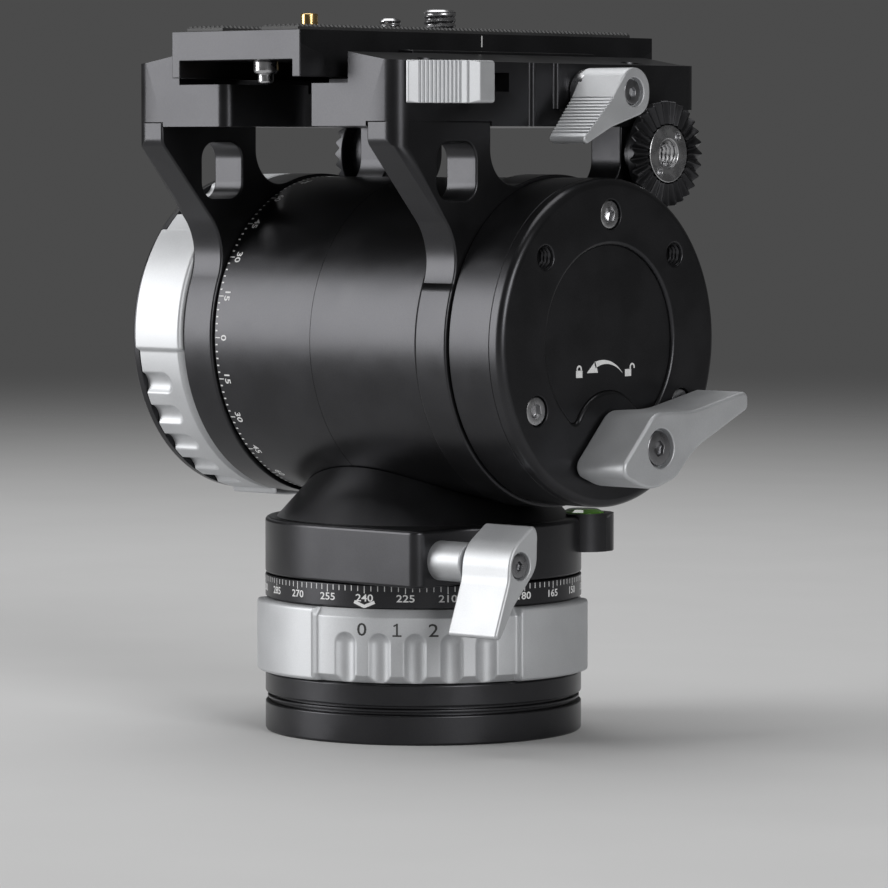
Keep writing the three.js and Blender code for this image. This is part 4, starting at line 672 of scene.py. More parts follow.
def bitten(radius, bite, horn):
    """A disc bitten by a circle about the lock's axis, its horns rounded.

    The horn's centre lies horn short of the disc's rim and horn beyond the bite's, and the two
    distances give its height: down = (m^2 + disc^2 - bite^2) / 2 m, with m between the centres."""
    middle = 0.3
    m, disc, out = middle - lock_down, radius - horn, bite + horn
    down = (m * m + disc * disc - out * out) / (2 * m)
    x, y = math.sqrt(disc * disc - down * down), middle - down
    rim, inner = math.atan2(-down, x), math.atan2(y - lock_down, x)
    return arcs(((0, middle), radius, rim, math.pi - rim, 1),
                ((-x, y), horn, math.pi - rim, 2 * math.pi - inner, 1),
                ((0, lock_down), bite, math.pi - inner, inner, -1),
                ((x, y), horn, inner - math.pi, rim, 1), per_turn=128)


holes = [(circle(4.3, p, 32), 3.5, 0.25) for p in bolt_places]
holes += [(circle(3.4, p, 32), 9.0, 0.5) for p in thread_places]
holes += [(bitten(27.3, 15.5, 2), 1.3, 1.1)]
face_disc_x = 70.45
milled("end_cap_disc", "pan_head", black_anodised, circle(DRUM_RADIUS, count=224), 66.95, 71.5, holes, axis="x",
       edge=2.4, low_edge=0.15, steps=7, centre=tilt_centre, stands_for=["end_cap"])
milled("face_disc", "pan_head", black_anodised, bitten(27.15, 15.65, 1.8), 69.9, face_disc_x, axis="x",
       edge=0.1, steps=2, centre=tilt_centre, stands_for=["end_face_disc"])


# %% [markdown]
# A thread is a cylinder whose radius rises and falls along its length and shifts by one pitch in
# every turn: r = r0 + depth tri(z / pitch - t / 2 pi), with tri running 0, 1, 0 over each pitch.

# %% Threads
def thread_points(radius, pitch, depth, low, high, count=36, per_pitch=8):
    """The turns and the points of a thread that fades out over the last half pitch at each end."""
    t = np.linspace(0, 2 * np.pi, count, endpoint=False)[:, None]
    z = np.linspace(low, high, round((high - low) / pitch * per_pitch) + 1)[None, :]
    groove = np.abs(2 * ((z / pitch - t / (2 * np.pi)) % 1) - 1)
    fade = np.clip(np.minimum(z - low, high - z) / (pitch / 2), 0, 1)
    r = radius - depth * fade * groove
    return t, np.stack([r * np.cos(t), r * np.sin(t), z + 0 * t], -1)


def threaded_hole(name, body, finish, radius, pitch, depth, low, high, arrange, **kept):
    """A thin sleeve with the thread on its inside: radius is the groove's, and ridges stand inward."""
    t, bore = thread_points(radius, pitch, depth, low, high)
    sleeve = ring_rows(t, [(radius + 0.15, high), (radius + 0.15, low)])
    formed(name, body, finish, np.concatenate([bore, sleeve], 1), arrange=arrange, crease=30, **kept)


for label, place in zip(("rear", "front"), thread_places):
    threaded_hole("cap_thread_" + label, "pan_head", black_anodised, 3.25, 1.27, 0.55, 62.6, 71.0,
                  lambda p, place=place: p[:, across] + [0, place[0], TILT_Z + place[1]])


# %% [markdown]
# Every screw is a turned head whose socket is a hexagon. The socket's wall is at h(t) = a / cos(t
# mod 60 - 30) from the middle, where a is half the size across flats, so one grid holds the head, the
# chamfer, the socket's six flats and its floor.

# %% Socket screws
def socket_screw(name, body, finish, radius, bottom, top, flats, socket, arrange, node, chamfer=0.35, count=72):
    """The columns of the grid run up the head, over its chamfer, down the socket and to its middle."""
    t = np.linspace(0, 2 * np.pi, count, endpoint=False)[:, None]
    hexagon = flats / 2 / np.cos((t % (np.pi / 3)) - np.pi / 6)
    f = np.linspace(0, np.pi / 2, 5)
    rows = [(0.02, bottom), (radius, bottom)]
    rows += [(radius - chamfer * (1 - math.cos(v)), top - chamfer * (1 - math.sin(v))) for v in f]
    r = np.concatenate([hexagon + 0.45, hexagon + 0.12, hexagon, hexagon, hexagon * 0.3, 0 * t + 0.02], 1)
    z = top - np.array([0, 0, 0.12, socket, socket + 0.3, socket + 0.35])
    crown = np.stack([r * np.cos(t), r * np.sin(t), z + 0 * t], -1)
    formed(name, body, finish, np.concatenate([ring_rows(t, rows), crown], 1), False, arrange, crease=30,
           stands_for=[node])


def along_x(y, z, turn=0.0):
    """Lays a piece drawn along z down along x, at a place and turned about its own axis."""
    a = math.radians(turn)

    def arrange(p):
        u, v = p[:, 0] * math.cos(a) - p[:, 1] * math.sin(a), p[:, 0] * math.sin(a) + p[:, 1] * math.cos(a)
        return np.stack([p[:, 2], u + y, v + z], 1)
    return arrange


for label, (y, z), turn in zip(("top", "front", "rear"), bolt_places, (12, 40, 25)):
    socket_screw("cap_screw_" + label, "pan_head", steel, 4.0, 68.1, 71.0, 4.0, 1.9,
                 along_x(y, TILT_Z + z, turn), "end_cap_screw_" + label)


# %% [markdown]
# Each arm of the cradle is a thick plate: a ring round the drum, a column in front, a window, and a
# lug behind that carries the rosette. Fillets run between them. A fillet's centre lies its own radius
# beyond the ring and beyond the straight side, so it is found as the meeting of a line and a circle.

# %% Cradle arms
ring_radius = 47.2
arm_top, arm_front = 176 - TILT_Z, -66.5
arm_low, arm_high, front_corner = 40, 51.5, 5.0


def beside_line(point, direction, outward, radius):
    """The centre of a circle that touches a line on its outer side and the ring from outside."""
    start = point + outward * radius
    along = start @ direction
    root = math.sqrt(along ** 2 - start @ start + (ring_radius + radius) ** 2)
    options = [start + direction * t for t in (-along - root, -along + root)]
    return max(options, key=lambda c: c[1])


def angle_of(v):
    return math.atan2(v[1], v[0])


def arm_outline():
    """The outline as (y, z) about the tilt axis: lug, ring, front column, window and back to the lug."""
    knee, waist = np.array([arm_front, 170 - TILT_Z]), np.array([-47.2, 148.8 - TILT_Z])
    down = (waist - knee) / np.linalg.norm(waist - knee)
    out = np.array([down[1], -down[0]])
    front = beside_line(knee, down, out, 17)
    column = beside_line(np.array([-28.1, 0]), np.array([0, 1]), np.array([1, 0]), 10)
    window = beside_line(np.array([27.8, 0]), np.array([0, 1]), np.array([-1, 0]), 8)
    lug, lug_radius, fillet = np.array([ROSETTE[0], ROSETTE[1] - TILT_Z]), 12.2, 6
    p, q, span = lug_radius + fillet, ring_radius + fillet, np.linalg.norm(lug)
    along = (q * q - p * p + span * span) / (2 * span)
    line = lug / span
    rear = line * along + np.array([line[1], -line[0]]) * math.sqrt(q * q - along * along)
    leave = angle_of(rear - lug)
    turn = 2 * math.pi
    bend = math.atan2(-out[1], -out[0])
    corner = 3.5
    half = math.acos(np.clip(down @ np.array([0, 1]), -1, 1)) / 2
    reach = corner / math.tan(half)
    knee_centre = knee + np.array([corner, reach])
    return arcs(
        (rear, fillet, angle_of(lug - rear) % turn, angle_of(-rear) % turn, -1),
        ((0, 0), ring_radius, angle_of(rear), angle_of(front) - turn, 1),
        (front, 17, angle_of(-front), bend, -1),
        (knee_centre, corner, angle_of(out) % turn, math.pi, 1),
        ((arm_front + 0.5, arm_top - 0.5), 0.5, math.pi, math.pi / 2, 1),
        ((-28.1 - 0.5, arm_top - 0.5), 0.5, math.pi / 2, 0, 1),
        (column, 10, math.pi, angle_of(-column) % turn, -1),
        ((0, 0), ring_radius, angle_of(column), angle_of(window), 1),
        (window, 8, angle_of(-window) % turn - turn, 0, -1),
        ((27.8 + 0.5, arm_top - 0.5), 0.5, math.pi, math.pi / 2, 1),
        ((lug[0] + lug_radius - 0.5, arm_top - 0.5), 0.5, math.pi / 2, 0, 1),
        (lug, lug_radius, 0, leave, 1), per_turn=112)


def round_front(points, normals):
    """Rounds the upright corner in front: at height h over the plate's middle, y stays behind
    corner - sqrt(R^2 - (h - h0)^2), where the corner's centre is R from the front and from the side."""
    y, h = points[:, 0], points[:, 2]
    over = np.clip((h - (arm_high - front_corner)) / front_corner, 0, 1)
    limit = arm_front + front_corner * (1 - np.sqrt(1 - over * over))
    moved = (y < limit)[:, None]
    around = np.stack([-np.sqrt(1 - over * over), 0 * over, over], 1)
    points = np.where(moved, np.stack([limit, points[:, 1], h], 1), points)
    return points, np.where(moved & (over > 0)[:, None], around, normals)


def arm_piece(side):
    """The arm on the right for side 1. The left one is its mirror image."""
    line, face = arm_outline()
    outer = line[::-1], face[::-1]
    hole = rounded([(-42.2 + y * 8.1, 162.2 - TILT_Z + z * 8.1, 4.9)
                    for y, z in ((-1, -1), (1, -1), (1, 1), (-1, 1))], 12)
    name = side_name[side]
    milled("arm_plate_" + name, "cradle", black_anodised, outer, arm_low, arm_high, [(hole, None, 0.6)],
           axis="x", edge=0.6, low_edge=0.7, steps=6, centre=tilt_centre, flip=side < 0, shape=round_front,
           between=np.linspace(arm_high - front_corner, 50.8, 9), stands_for=["arm_" + name])


side_name = {1: "right", -1: "left"}
for side in side_name:
    arm_piece(side)

# %% [markdown]
# The three lock levers are cut from thick bar, so each is an outline with a deep extrusion, softened
# all round. The hub has a round recess for its screw, and the screw's socket is a hexagon.

# %% Lock levers
def lever(name, body, shares, reach, low, high, hub, recess, node, edge=1.0, **kept):
    """Outline corners are shares of the reach of the tip: (toward +Y, up, corner radius)."""
    outline = rounded([tuple(v * reach for v in row) for row in shares], 10)
    milled(name, body, silver_anodised, outline, low, high, [(circle(recess[0], count=48), recess[1], 0.35)],
           axis="x", edge=edge, steps=5, centre=(0, *hub), stands_for=[node], **kept)


lever("tilt_lever_body", "tilt_lock",
      [(-0.455, -0.16, 0.08), (-0.113, -0.298, 0.4), (0.175, -0.215, 0.225), (0.36, -0.028, 0.75),
       (0.97, 0.24, 0.055), (0.965, 0.373, 0.05), (0.35, 0.248, 1), (-0.06, 0.253, 0.175)],
      40, 72.1, 90, TILT_LOCK, (5.6, 2.2), "tilt_lock_lever")
lever("pan_lever_body", "pan_lock",
      [(-0.225, 0.215, 0.5), (0.28, 0.56, 0.058), (0.36, 0.45, 0.19), (0.345, -0.05, 0.4),
       (-0.13, -0.55, 0.6), (-0.41, -0.985, 0.055), (-0.545, -0.995, 0.055), (-0.25, -0.2, 0.5)],
      20, 52, 70, PAN_LOCK, (3.9, 2.0), "pan_lock_lever", 0.8)
for label, body, radius, face, depth, place, flats in (
        ("tilt", "tilt_lock", 4.9, 90, 2.2, TILT_LOCK, 4.0),
        ("pan", "pan_lock", 3.5, 70, 2.0, PAN_LOCK, 2.5),
        ("clamp", "clamp_control", 3.6, 72.6, 1.8, CLAMP, 2.5)):
    socket_screw(label + "_lever_bolt", body, screw_steel, radius, face - depth + 0.02, face - 0.7, flats, 1.1,
                 along_x(*place, 17), label + "_lever_screw", chamfer=0.5)


# %% [markdown]
# The clamp lever is ribbed where the thumb pushes, and it narrows towards its tip. Its outline has
# the ribs as small notches along the grip, so they run across the whole width. The edge is softer
# away from them. The taper squeezes the piece towards its outer face, more the lower a point is.

# %% Clamp lever
def clamp_lever():
    reach, ribs, depth, inner, outer = 23, 12, 0.42, 55.7, 72.6
    start, end = np.array([-0.896, -0.513]) * reach, np.array([-0.387, -0.048]) * reach
    run = end - start
    out = np.array([-run[1], run[0]]) / np.linalg.norm(run)
    grip = []
    for k in range(ribs, 0, -1):
        for share, lift, radius in ((0.28, 0, 0.22), (0.0, -depth, 0.2), (-0.28, 0, 0.22)):
            place = start + run * ((k - 0.5 + share) / ribs) + out * (lift + 0.02)
            grip.append((place[0] / reach, place[1] / reach, radius / reach))
    corners = [(0.3, 0.3, 0.274), (-0.126, 0.3, 0.252), *grip, (-0.983, -0.574, 0.048), (-0.878, -0.635, 0.048),
               (-0.417, -0.43, 0.3), (0.3, -0.226, 0.26)]
    edges = np.array([0.18 if corner in grip else 0.75 for corner in corners])

    def taper(points, normals):
        """x moves towards the outer face by a share that grows from 0 at the top to 1/4 at the tip."""
        fall = np.clip((6.9 - points[:, 1]) / 21.5, 0, 1) * 0.25
        points = points.copy()
        points[:, 2] = outer - (outer - points[:, 2]) * (1 - fall)
        return points, normals

    lever("clamp_lever_body", "clamp_control", corners, reach, inner, outer, CLAMP, (4.1, 1.8),
          "clamp_lever", np.repeat(edges, 11), shape=taper)


clamp_lever()
turned("pan_lock_pin", "pan_lock", silver_anodised,
       [(0.02, 25, 0), (5.6, 25, 0.5), (5.6, 51.7, 0.3), (0.02, 51.7, 0)],
       axis="x", centre=(0, *PAN_LOCK), count=96, stands_for=["pan_lock_spindle"])
turned("clamp_collar", "clamp_control", steel,
       [(0.02, 30.7, 0), (3.6, 30.7, 0.4), (3.6, 54.2, 0.1), (6.6, 54.2, 0.25), (6.6, 58.0, 0.25),
        (0.02, 58.0, 0)],
       axis="x", centre=(0, *CLAMP), count=96, stands_for=["clamp_spindle"])


# %% [markdown]
# A rosette is a ring of radial teeth that locks a pan bar at any of 28 angles. Its face is height
# over turn and radius: a clipped triangle wave over the turn, whose depth grows with the radius so
# that every tooth's edges run to the middle.

# %% Rosettes
def rosette(side):
    """height = 59.4 - 1.6 share(r) tri(28 t / 2 pi), with share running from 0.5 inside to 1 outside."""
    count, teeth = 28 * 16, 28
    t = np.linspace(0, 2 * np.pi, count, endpoint=False)[:, None]
    wave = 1 - np.abs(2 * ((t * teeth / (2 * np.pi)) % 1) - 1)
    wave = np.clip((wave - 0.14) / 0.72, 0, 1)
    r = np.array([8.7, 9.2, 11, 13, 14.6, 15.0, 15.2])[None, :]
    share = 0.5 + 0.5 * (r - 8.7) / 6.5
    rim = np.array([0, 0, 0, 0, 0, 0.12, 0.45])[None, :]
    height = 59.35 - 1.6 * share * wave - rim
    face = np.stack([r * np.cos(t), r * np.sin(t), height], -1)
    body = ring_rows(t, [(15.2, 56.5), (14.9, 56.2), (8.7, 56.2)])
    name, place = side_name[side], (0, *ROSETTE)

    def turned_about(p):
        """Half a turn about the upright axis for the left side."""
        return p * [side, side, 1]

    def in_place(p):
        return turned_about(p[:, across]) + place

    formed("rosette_ring_" + name, "cradle", black_anodised, np.concatenate([face, body], 1), arrange=in_place,
           stands_for=["rosette_" + name], crease=25)
    holes = [(circle(4.15, count=48), None, 0.4)]
    holes += [(circle(1.2, at_turn(6.4, a), 24), 1.6, 0.15) for a in (52, 232)]
    milled("rosette_bush_" + name, "cradle", steel, circle(8.35, count=96), 56.2, 59.2, holes, axis="x",
           edge=0.35, centre=place, arrange=turned_about, stands_for=["rosette_hub_" + name])
    threaded_hole("rosette_thread_" + name, "cradle", steel, 4.05, 1.5, 0.7, 46.4, 58.9, in_place)
    low, high = sorted((51.0 * side, 56.15 * side))
    turned("rosette_stem_" + name, "cradle", black_anodised,
           [(4.5, low, 0.1), (11.2, low, 0.2), (11.2, high, 0.2), (4.5, high, 0.1)],
           axis="x", centre=place, count=96)


for side in side_name:
    rosette(side)


# %% [markdown]
# The platform, the camera plate, the clamp jaw and the level's post are milled blocks with pockets,
# steps and slots in every direction. Their solids already have those forms, so each skin is a copy of
# its solid with flat areas merged, finished with a narrow bevel that gives every edge its highlight.

# %% Milled blocks
def softened(name, body, finish, node, width, segments=3, crease=32, reshape=None, rounds=()):
    """A copy of a solid with its coplanar facets merged and its edges rounded by a bevel.

    Reshape moves points given in millimetres. Rounds lists upright edges as (x, y, radius)."""
    mesh = frame["nodes"][node].data.copy()
    mesh.name = name
    work = bmesh.new()
    work.from_mesh(mesh)
    bmesh.ops.remove_doubles(work, verts=work.verts, dist=0.00001)
    bmesh.ops.dissolve_limit(work, angle_limit=math.radians(1), verts=work.verts, edges=work.edges)
    for x, y, radius in rounds:
        upright = [e for e in work.edges
                   if all(math.dist(v.co[:2], (x * MM, y * MM)) < 0.00002 for v in e.verts)]
        bmesh.ops.bevel(work, geom=upright, offset=radius * MM, segments=10, profile=0.5, affect="EDGES")
    bmesh.ops.recalc_face_normals(work, faces=work.faces)
    work.to_mesh(mesh)
    if reshape:
        points = np.empty(3 * len(mesh.vertices), np.float32)
        mesh.vertices.foreach_get("co", points)
        mesh.vertices.foreach_set("co", (reshape(points.reshape(-1, 3) / MM) * MM).astype(np.float32).ravel())
    work.free()
    mesh.materials.clear()
    mesh.materials.append(finish)
    mesh.shade_smooth()
    mesh.set_sharp_from_angle(angle=math.radians(crease))
    piece = bpy.data.objects.new(name, mesh)
    bpy.context.scene.collection.objects.link(piece)
    bevel = piece.modifiers.new("soft_edges", "BEVEL")
    bevel.width, bevel.segments = width * MM, segments
    bevel.limit_method, bevel.angle_limit = "ANGLE", math.radians(crease)
    bevel.use_clamp_overlap, bevel.harden_normals = True, True
    bevel.miter_outer = "MITER_ARC"
    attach(piece, body)
    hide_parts(node)
    print(name, "on", body + ":", len(mesh.polygons), "faces before its bevel")


def deeper_recess(p):
    """Moves the back wall of the recess in front from y = -53.5 to -34.5."""
    wall = (np.abs(p[:, 0] - 2.5) < 16.8) & (p[:, 1] > -59) & (p[:, 1] < -53) & (p[:, 2] < 187)
    return p + np.where(wall, 19.0, 0)[:, None] * [0, 1, 0]


def lower_seat(p):
    """Lowers the level's rim from z = 64.2 to 62.8 and lifts the post's foot to 51.8."""
    height = np.where(p[:, 2] > 63, 62.8, np.maximum(p[:, 2], 51.8))
    return np.column_stack([p[:, :2], height])


softened("platform_block", "cradle", black_anodised, "platform", 0.45, reshape=deeper_recess,
         rounds=[(-14.2, -66.5, 3.6)])
softened("plate_bar", "plate", black_anodised, "camera_plate", 0.5)
softened("jaw_bar", "moving_jaw", black_anodised, "clamp_jaw", 0.3)
softened("level_post", "pan_head", black_anodised, "level_boss", 0.25, reshape=lower_seat)

# %% [markdown]
# The safety catch is a wedge with soft edges that a thumb pushes back. Grooves run up its long face,
# ten fine ones close together and one apart on either side, and a stem goes into the platform's slot.

# %% Safety catch
def safety_catch():
    """Seen from above, the long face goes from start along run, with out as its normal."""
    start, run = np.array([52.7, -63.4]), np.array([0.531, 0.8475])
    out = np.array([run[1], -run[0]])
    corners, edges = [(51.8, -39.6, 0.3), (51.8, -63.4, 0.3), (52.7, -63.4, 0.6)], [0.3, 0.3, 0.7]
    for s in [3.3] + [4.4 + 1.15 * k for k in range(10)] + [17.0]:
        for share, depth, radius in ((-0.34, 0, 0.2), (0, 0.36, 0.12), (0.34, 0, 0.2)):
            corners.append((*(start + run * (s + share) - out * depth), radius))
            edges.append(0.15)
    corners += [(63.6, -46, 1.3), (63.6, -39.6, 1.0)]
    edges += [0.9, 0.9]
    steps = 6
    milled("catch_slide_block", "catch", silver_anodised, rounded(corners, steps), 180.9, 192.6,
           edge=np.repeat(edges, steps + 1), stands_for=["safety_catch"])
    stem = rounded([(47, -44, 0.5), (52.2, -44, 0.5), (52.2, -27, 0.5), (47, -27, 0.5)])
    milled("catch_stem", "catch", black_anodised, stem, 184.7, 189.2, edge=0.3)


safety_catch()


# %% [markdown]
# Two rubber strips grip the camera with a field of small blunt pyramids. Each is a grid of three
# points per pyramid and direction: one in the valley, two on the blunt top.

# %% Camera plate fittings
def rubber_pad(side):
    """A grid whose height is top - 0.75 in the valleys and top on the pyramids, closed by walls and a
    foot. The left pad is the mirror image, so its faces are turned round."""
    base_z, top, valley, step = 201.2, 202.8, 0.75, np.array([0, 0.4, 0.64])
    across_x = np.append((np.arange(8)[:, None] + step).ravel(), 8) * (14.0 / 8) + 7.65
    along = np.append((np.arange(84)[:, None] + step).ravel(), 84) * (141.4 / 84) - 74.45
    low_x, low_y = np.arange(len(across_x)) % 3 == 0, np.arange(len(along)) % 3 == 0
    x, y = np.meshgrid(side * across_x, along, indexing="ij")
    z = np.where(low_x[:, None] | low_y[None, :], top - valley, top)
    index = np.arange(x.size).reshape(x.shape)
    rim = np.concatenate([index[:-1, 0], index[-1, :-1], index[:0:-1, -1], index[0, :0:-1]])
    points = np.stack([x, y, z], -1).reshape(-1, 3)
    foot = len(points) + np.arange(len(rim))
    points = np.vstack([points, np.column_stack([points[rim, :2], np.full(len(rim), base_z)])])
    walls = np.stack([rim, np.roll(rim, -1), np.roll(foot, -1), foot], 1)
    quads = np.vstack([grid_faces(*x.shape, wrap_rows=False, wrap_columns=False), walls[:, ::-1]])
    faces = [face[::side] for face in quads.tolist() + [foot[::-1].tolist()]]
    make_piece("grip_strip_" + side_name[side], "plate", rubber, points, faces,
               stands_for=["plate_pad_" + side_name[side]], crease=20)


for side in side_name:
    rubber_pad(side)


def camera_screw(name, body, node, y, radius, pitch, top, head, head_z):
    """A broad head under the plate, and a thread with a chamfered end above it."""
    t, thread = thread_points(radius, pitch, radius * 0.1, 193.2, top - 0.6)
    lower = ring_rows(t, [(0.02, head_z), (head - 0.5, head_z), (head, head_z + 0.5), (head, 192.94),
                          (radius, 192.96)])
    upper = ring_rows(t, [(radius - 0.15, top - 0.45), (radius - 0.7, top), (radius * 0.5, top), (0.02, top)])
    formed(name, body, steel, np.concatenate([lower, thread, upper], 1), False, lambda p: p + [0, y, 0],
           crease=30, stands_for=[node])


camera_screw("quarter_thread", "quarter_screw", "camera_screw_quarter", -14, 3.13, 1.27, 205.7, 7, 190.4)
camera_screw("three_eighths_thread", "three_eighths_screw", "camera_screw_three_eighths",
             7.1, 4.76, 1.5875, 208.6, 8, 190.2)
turned("gold_pin_body", "pin", gold,
       [(0.02, 190.6, 0), (3.9, 190.6, 0.3), (3.9, 192.7, 0.3), (2.45, 192.7, 0.2), (2.45, 206.5, 0.45),
        (0.02, 206.5, 0)],
       centre=(0, -47.5, 0), count=64, stands_for=["locating_pin"])
turned("stop_bolt", "plate", steel,
       [(0.02, 186.7, 0), (2.2, 186.7, 0.6), (2.2, 189.2, 0.2), (3.45, 189.2, 1.2), (3.45, 192.9, 0.3),
        (2.3, 192.9, 0.1), (2.3, 198, 0.2), (0.02, 198, 0)],
       centre=(0, -65, 0), count=64, stands_for=["plate_stop_screw"])


# %% [markdown]
# The markings are printed. A print is a layer of ink, so each one here is a thin closed slab that
# stands a few hundredths of a millimetre proud. Numbers come from Blender's own font as a mesh, and
# every line, arrow or icon is a stroke: a path with a width. Both are drawn flat as (u, v, w), with
# w through the ink, and one more function wraps them round a ring or lays them on a face.

# %% Inks, numbers and strokes
def ink(name, tone, roughness):
    f = Finish(name, Metallic=0.0)
    wear = f.noise(0.9, 2)
    f.to("Base Color", f.mix(wear, (tone * 0.85, tone * 0.85, tone * 0.85, 1), (tone, tone, tone, 1)))
    f.to("Roughness", wear.ramp(0.3, 0.7, roughness - 0.06, roughness + 0.06))
    return f.material


white_ink, dark_ink = ink("white_ink", 0.82, 0.5), ink("dark_ink", 0.035, 0.45)


def triangles(quads):
    """Each quad as two triangles."""
    return np.vstack([quads[:, [0, 1, 2]], quads[:, [0, 2, 3]]])


def number(text, tall, wide=1.25, bold=0.012):
    """A line of text, centred, as (u, v, w) points and triangles, its doubles merged.

    It is wide times as wide as the font draws it, and bold thickens every line of it."""
    curve = bpy.data.curves.new("number", "FONT")
    curve.body, curve.size, curve.extrude, curve.resolution_u = str(text), 1, 0.5, 3
    curve.offset = bold
    source = bpy.data.objects.new("number", curve)
    bpy.context.scene.collection.objects.link(source)
    mesh = bpy.data.meshes.new_from_object(source.evaluated_get(bpy.context.evaluated_depsgraph_get()))
    mesh.calc_loop_triangles()
    points = np.empty(3 * len(mesh.vertices), np.float32)
    mesh.vertices.foreach_get("co", points)
    faces = np.empty(3 * len(mesh.loop_triangles), np.int32)
    mesh.loop_triangles.foreach_get("vertices", faces)
    for made, kept in ((source, bpy.data.objects), (curve, bpy.data.curves), (mesh, bpy.data.meshes)):
        kept.remove(made)
    points, place = np.unique(np.round(points.reshape(-1, 3), 5), axis=0, return_inverse=True)
    low, high = points[:, :2].min(0), points[:, :2].max(0)
    points[:, :2] = (points[:, :2] - (low + high) / 2) * tall / (high - low)[1] * [wide, 1]
    return points, place.reshape(-1)[faces].reshape(-1, 3)


def stroke(path, width):
    """A path of (u, v) points with a width: the points are moved half of it along the path's normal
    to either side, and half the ink's thickness up and down."""
    path = np.asarray(path, float)
    way = np.gradient(path, axis=0)
    way /= np.linalg.norm(way, axis=1, keepdims=True)
    half = np.broadcast_to(np.asarray(width, float) / 2, len(path))[:, None]
    side = np.stack([-way[:, 1], way[:, 0]], 1) * half
    corners = [(side, -0.5), (-side, -0.5), (-side, 0.5), (side, 0.5)]
    points = np.stack([np.column_stack([path + shift, np.full(len(path), w)]) for shift, w in corners], 1)
    n = 4 * len(path)
    quads = np.vstack([grid_faces(len(path), 4, wrap_rows=False), [[0, 1, 2, 3], [n - 1, n - 2, n - 3, n - 4]]])
    return points.reshape(-1, 3), triangles(facing_out(points.reshape(-1, 3), quads))


def together(shapes):
    """Many (points, faces) as one pair, each face's numbers moved on by the points before it."""
    starts = np.cumsum([0] + [len(points) for points, _ in shapes])
    return (np.vstack([points for points, _ in shapes]),
            np.vstack([faces + start for (_, faces), start in zip(shapes, starts)]))


def print_on(name, body, finish, shapes, slot):
    points, faces = together(shapes)
    make_piece(name, body, finish, points, faces.tolist(), slot=slot, crease=30)
    print(len(shapes), "marks")


proud, layer = 0.012, 0.06


def round_ring(shape, turn, height, radius):
    """Wraps a flat shape round an upright ring: u / radius turns it, v lifts it."""
    (points, faces), a = shape, turn + shape[0][:, 0] / radius
    r = radius + proud + layer * points[:, 2]
    return np.stack([r * np.cos(a), r * np.sin(a), height + points[:, 1]], 1), faces


def round_drum(shape, rise, place):
    """Wraps a flat shape round the drum so that u runs down its front and v towards the levers."""
    (points, faces), a = shape, rise - shape[0][:, 0] / DRUM_RADIUS
    r = DRUM_RADIUS + proud + layer * points[:, 2]
    return np.stack([place + points[:, 1], -r * np.cos(a), TILT_Z + r * np.sin(a)], 1), faces


def on_side(shape, x, y, z):
    """Lays a flat shape on a face that looks along x: u runs along y, v along z."""
    points, faces = shape
    return np.stack([x + proud + layer * points[:, 2], y + points[:, 0], z + points[:, 1]], 1), faces


# %% [markdown]
# The pan scale runs round the ring, numbered every 15 degrees, with a line every 2.5 degrees. The
# figures go down to the right, because the ring stands still while the head turns above it. Below
# them a broad arrowhead marks where the drag dial's figures are read.

# %% Pan scale
scale_zero = 171.3  # where 0 stands, in degrees from +x
marks = []
for step in range(144):
    turn = math.radians(scale_zero - 2.5 * step)
    long = 2.1 if step % 6 == 0 else 1.5
    marks.append(round_ring(stroke([(0, -long), (0, 0)], 0.24), turn, 45.15, BASE_RADIUS))
for value in range(0, 360, 15):
    marks.append(round_ring(number(value, 2.1), math.radians(scale_zero - value), 41.75, BASE_RADIUS))
print_on("pan_scale_print", "pan_base", white_ink, marks, "black_anodised")
wide = np.linspace(-3.1, 3.1, 17)
chevron = stroke(np.column_stack([wide, 0.42 * np.abs(wide) - 0.6]), 0.95)
print_on("drag_index_print", "pan_base", white_ink,
         [round_ring(chevron, math.radians(scale_zero - 240), 39.9, BASE_RADIUS)], "black_anodised")
one = together([stroke([(0, -1.85), (0, 1.85)], 0.5), stroke([(-1.0, 1.1), (0, 1.6)], 0.45),
                stroke([(-1.3, -1.63), (1.3, -1.63)], 0.45)])
figures = [round_ring(one if k == 1 else number(k, 3.7, 1.2, 0.006), math.radians(-69.1 + 12.6 * k), 32.9, 47.1)
           for k in range(4)]
print_on("drag_figures_print", "pan_dial", dark_ink, figures, "silver_anodised")

# %% [markdown]
# The tilt scale is read against the left arm's edge. It has a line every 15 degrees and short dots
# between, and its figures stand on the drum's left half with their feet towards the arm.

# %% Tilt scale
marks = []
for step in range(-30, 37):
    rise = math.radians(2.5 * step)
    long, width = (1.8, 0.28) if step % 6 == 0 else (0.8, 0.42)
    marks.append(round_drum(stroke([(0, 0), (0, long)], width), rise, -39.0))
for value in range(-75, 91, 15):
    marks.append(round_drum(number(abs(value), 2.1), math.radians(value), -35.7))
print_on("tilt_scale_print", "pan_head", white_ink, marks, "black_anodised")

# %% [markdown]
# On the face disc a small closed lock, an open one and a curved arrow say which way the lever turns.
# A lock is a thick stroke for its body and a bent one for its shackle. The arrow's shaft is an arc
# that tapers to nothing, and its head a stroke whose width falls to a point.

# %% Lock signs and index line
def shackle(width, rise, end):
    """Up one side, over a half circle and down the other as far as end."""
    t = np.linspace(np.pi, 0, 13)
    top = np.column_stack([width / 2 * np.cos(t), rise + width / 2 * np.sin(t)])
    return np.vstack([[(-width / 2, 0)], top, [(width / 2, end)]])


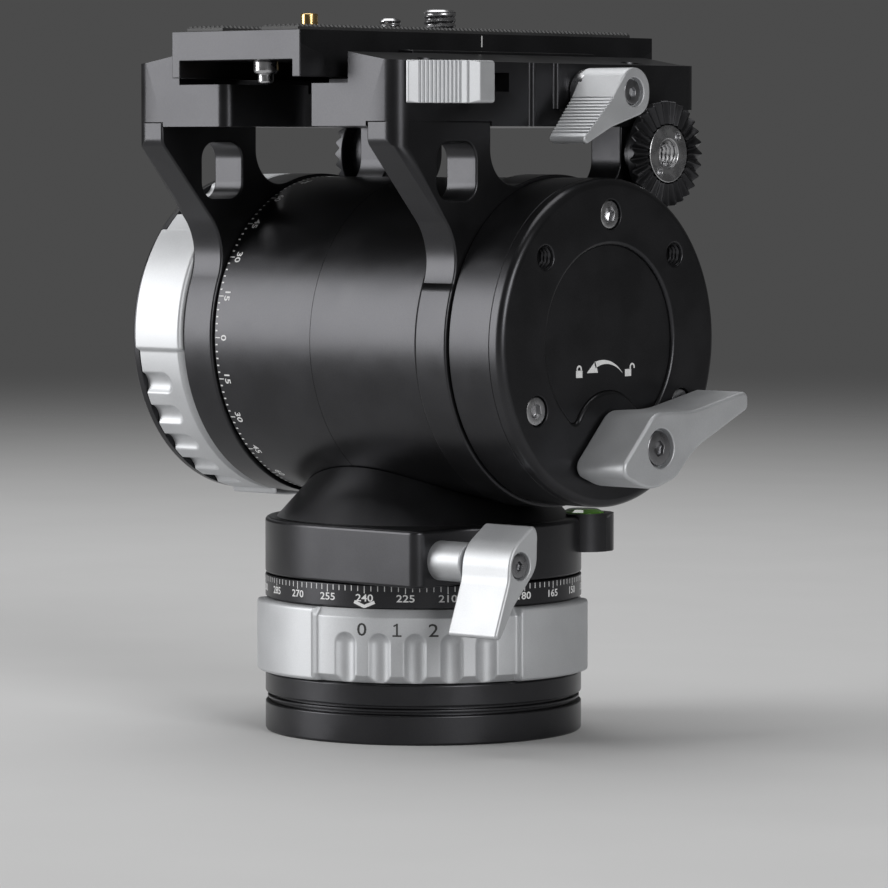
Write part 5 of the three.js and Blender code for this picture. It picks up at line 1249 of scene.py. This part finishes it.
lock_block = stroke([(0, -1.0), (0, 1.0)], 2.7)
t = np.radians(np.linspace(44, 112, 25))
shaft = np.column_stack([10.9 * np.cos(t), 10.9 * np.sin(t)])
closed, opened = stroke(shackle(1.7, 0.5, 0), 0.5), stroke(shackle(1.7, 0.7, 0.3), 0.5)
head = stroke([(-2.9, -1.75), (1.25, -0.2)], [0.05, 3.4])
signs = [on_side(sign, face_disc_x, y, z) for sign, y, z in (
    (lock_block, -12.4, 105.6), (closed, -12.4, 106.5), (lock_block, 8.7, 105.4), (opened, 10.5, 106.3),
    (stroke(shaft, np.linspace(0.05, 1.7, 25)), -1.6, 97.8), (head, -6.2, 107.6))]
print_on("lock_signs_print", "pan_head", white_ink, signs, "black_anodised")
print_on("plate_index_print", "plate", white_ink,
         [on_side(stroke([(0, 0), (0, 3.2)], 0.45), 25, -2.5, 197.4)], "black_anodised")

# %% [markdown]
# The level is a small glass with green liquid in a round seat. It is one low dome, so its finish
# carries the bubble and the circle: both are smooth steps of the distance from the glass's middle.

# %% Bubble level
vial_x, vial_y = 34.2285, 31.4747


def glass_finish():
    """Green that deepens outwards, a pale bubble with a bright edge, and one dark circle."""
    f = Finish("level_glass", Coat_Weight=1.0, Coat_Roughness=0.03)
    flat = f.add("ShaderNodeVectorMath", {"operation": "MULTIPLY"}, {0: f.place(), 1: (1000, 1000, 0)})
    centred = f.add("ShaderNodeVectorMath", {"operation": "DISTANCE"},
                    {0: flat, 1: (vial_x, vial_y, 0)}, output="Value")
    bubble = f.add("ShaderNodeVectorMath", {"operation": "DISTANCE"},
                   {0: flat, 1: (vial_x - 0.5, vial_y - 0.4, 0)}, output="Value")
    green = f.mix(centred.ramp(0, 6), (0.36, 0.82, 0.05, 1), (0.16, 0.5, 0.03, 1))
    inside = f.mix(bubble.ramp(1.75, 1.55), green, (0.72, 0.93, 0.5, 1))
    edge = f.mix(bubble.ramp(1.5, 1.62) * bubble.ramp(1.9, 1.75), inside, (0.1, 0.32, 0.02, 1))
    ring = centred.ramp(2.45, 2.55) * centred.ramp(2.85, 2.75)
    f.to("Base Color", f.mix(ring, edge, (0.01, 0.02, 0.01, 1)))
    f.to("Roughness", f.noise(0.5).ramp(0.3, 0.7, 0.06, 0.12))
    return f.material


turned("level_glass_dome", "pan_head", glass_finish(),
       [(0.02, 62.0, 0), (6.15, 62.0, 0.1), (6.15, 63.0, 0.15), (4.2, 63.9, 2.0), (0.02, 64.15, 0)],
       centre=(vial_x, vial_y, 0), count=72, stands_for=["level_vial"], slot="level_liquid")
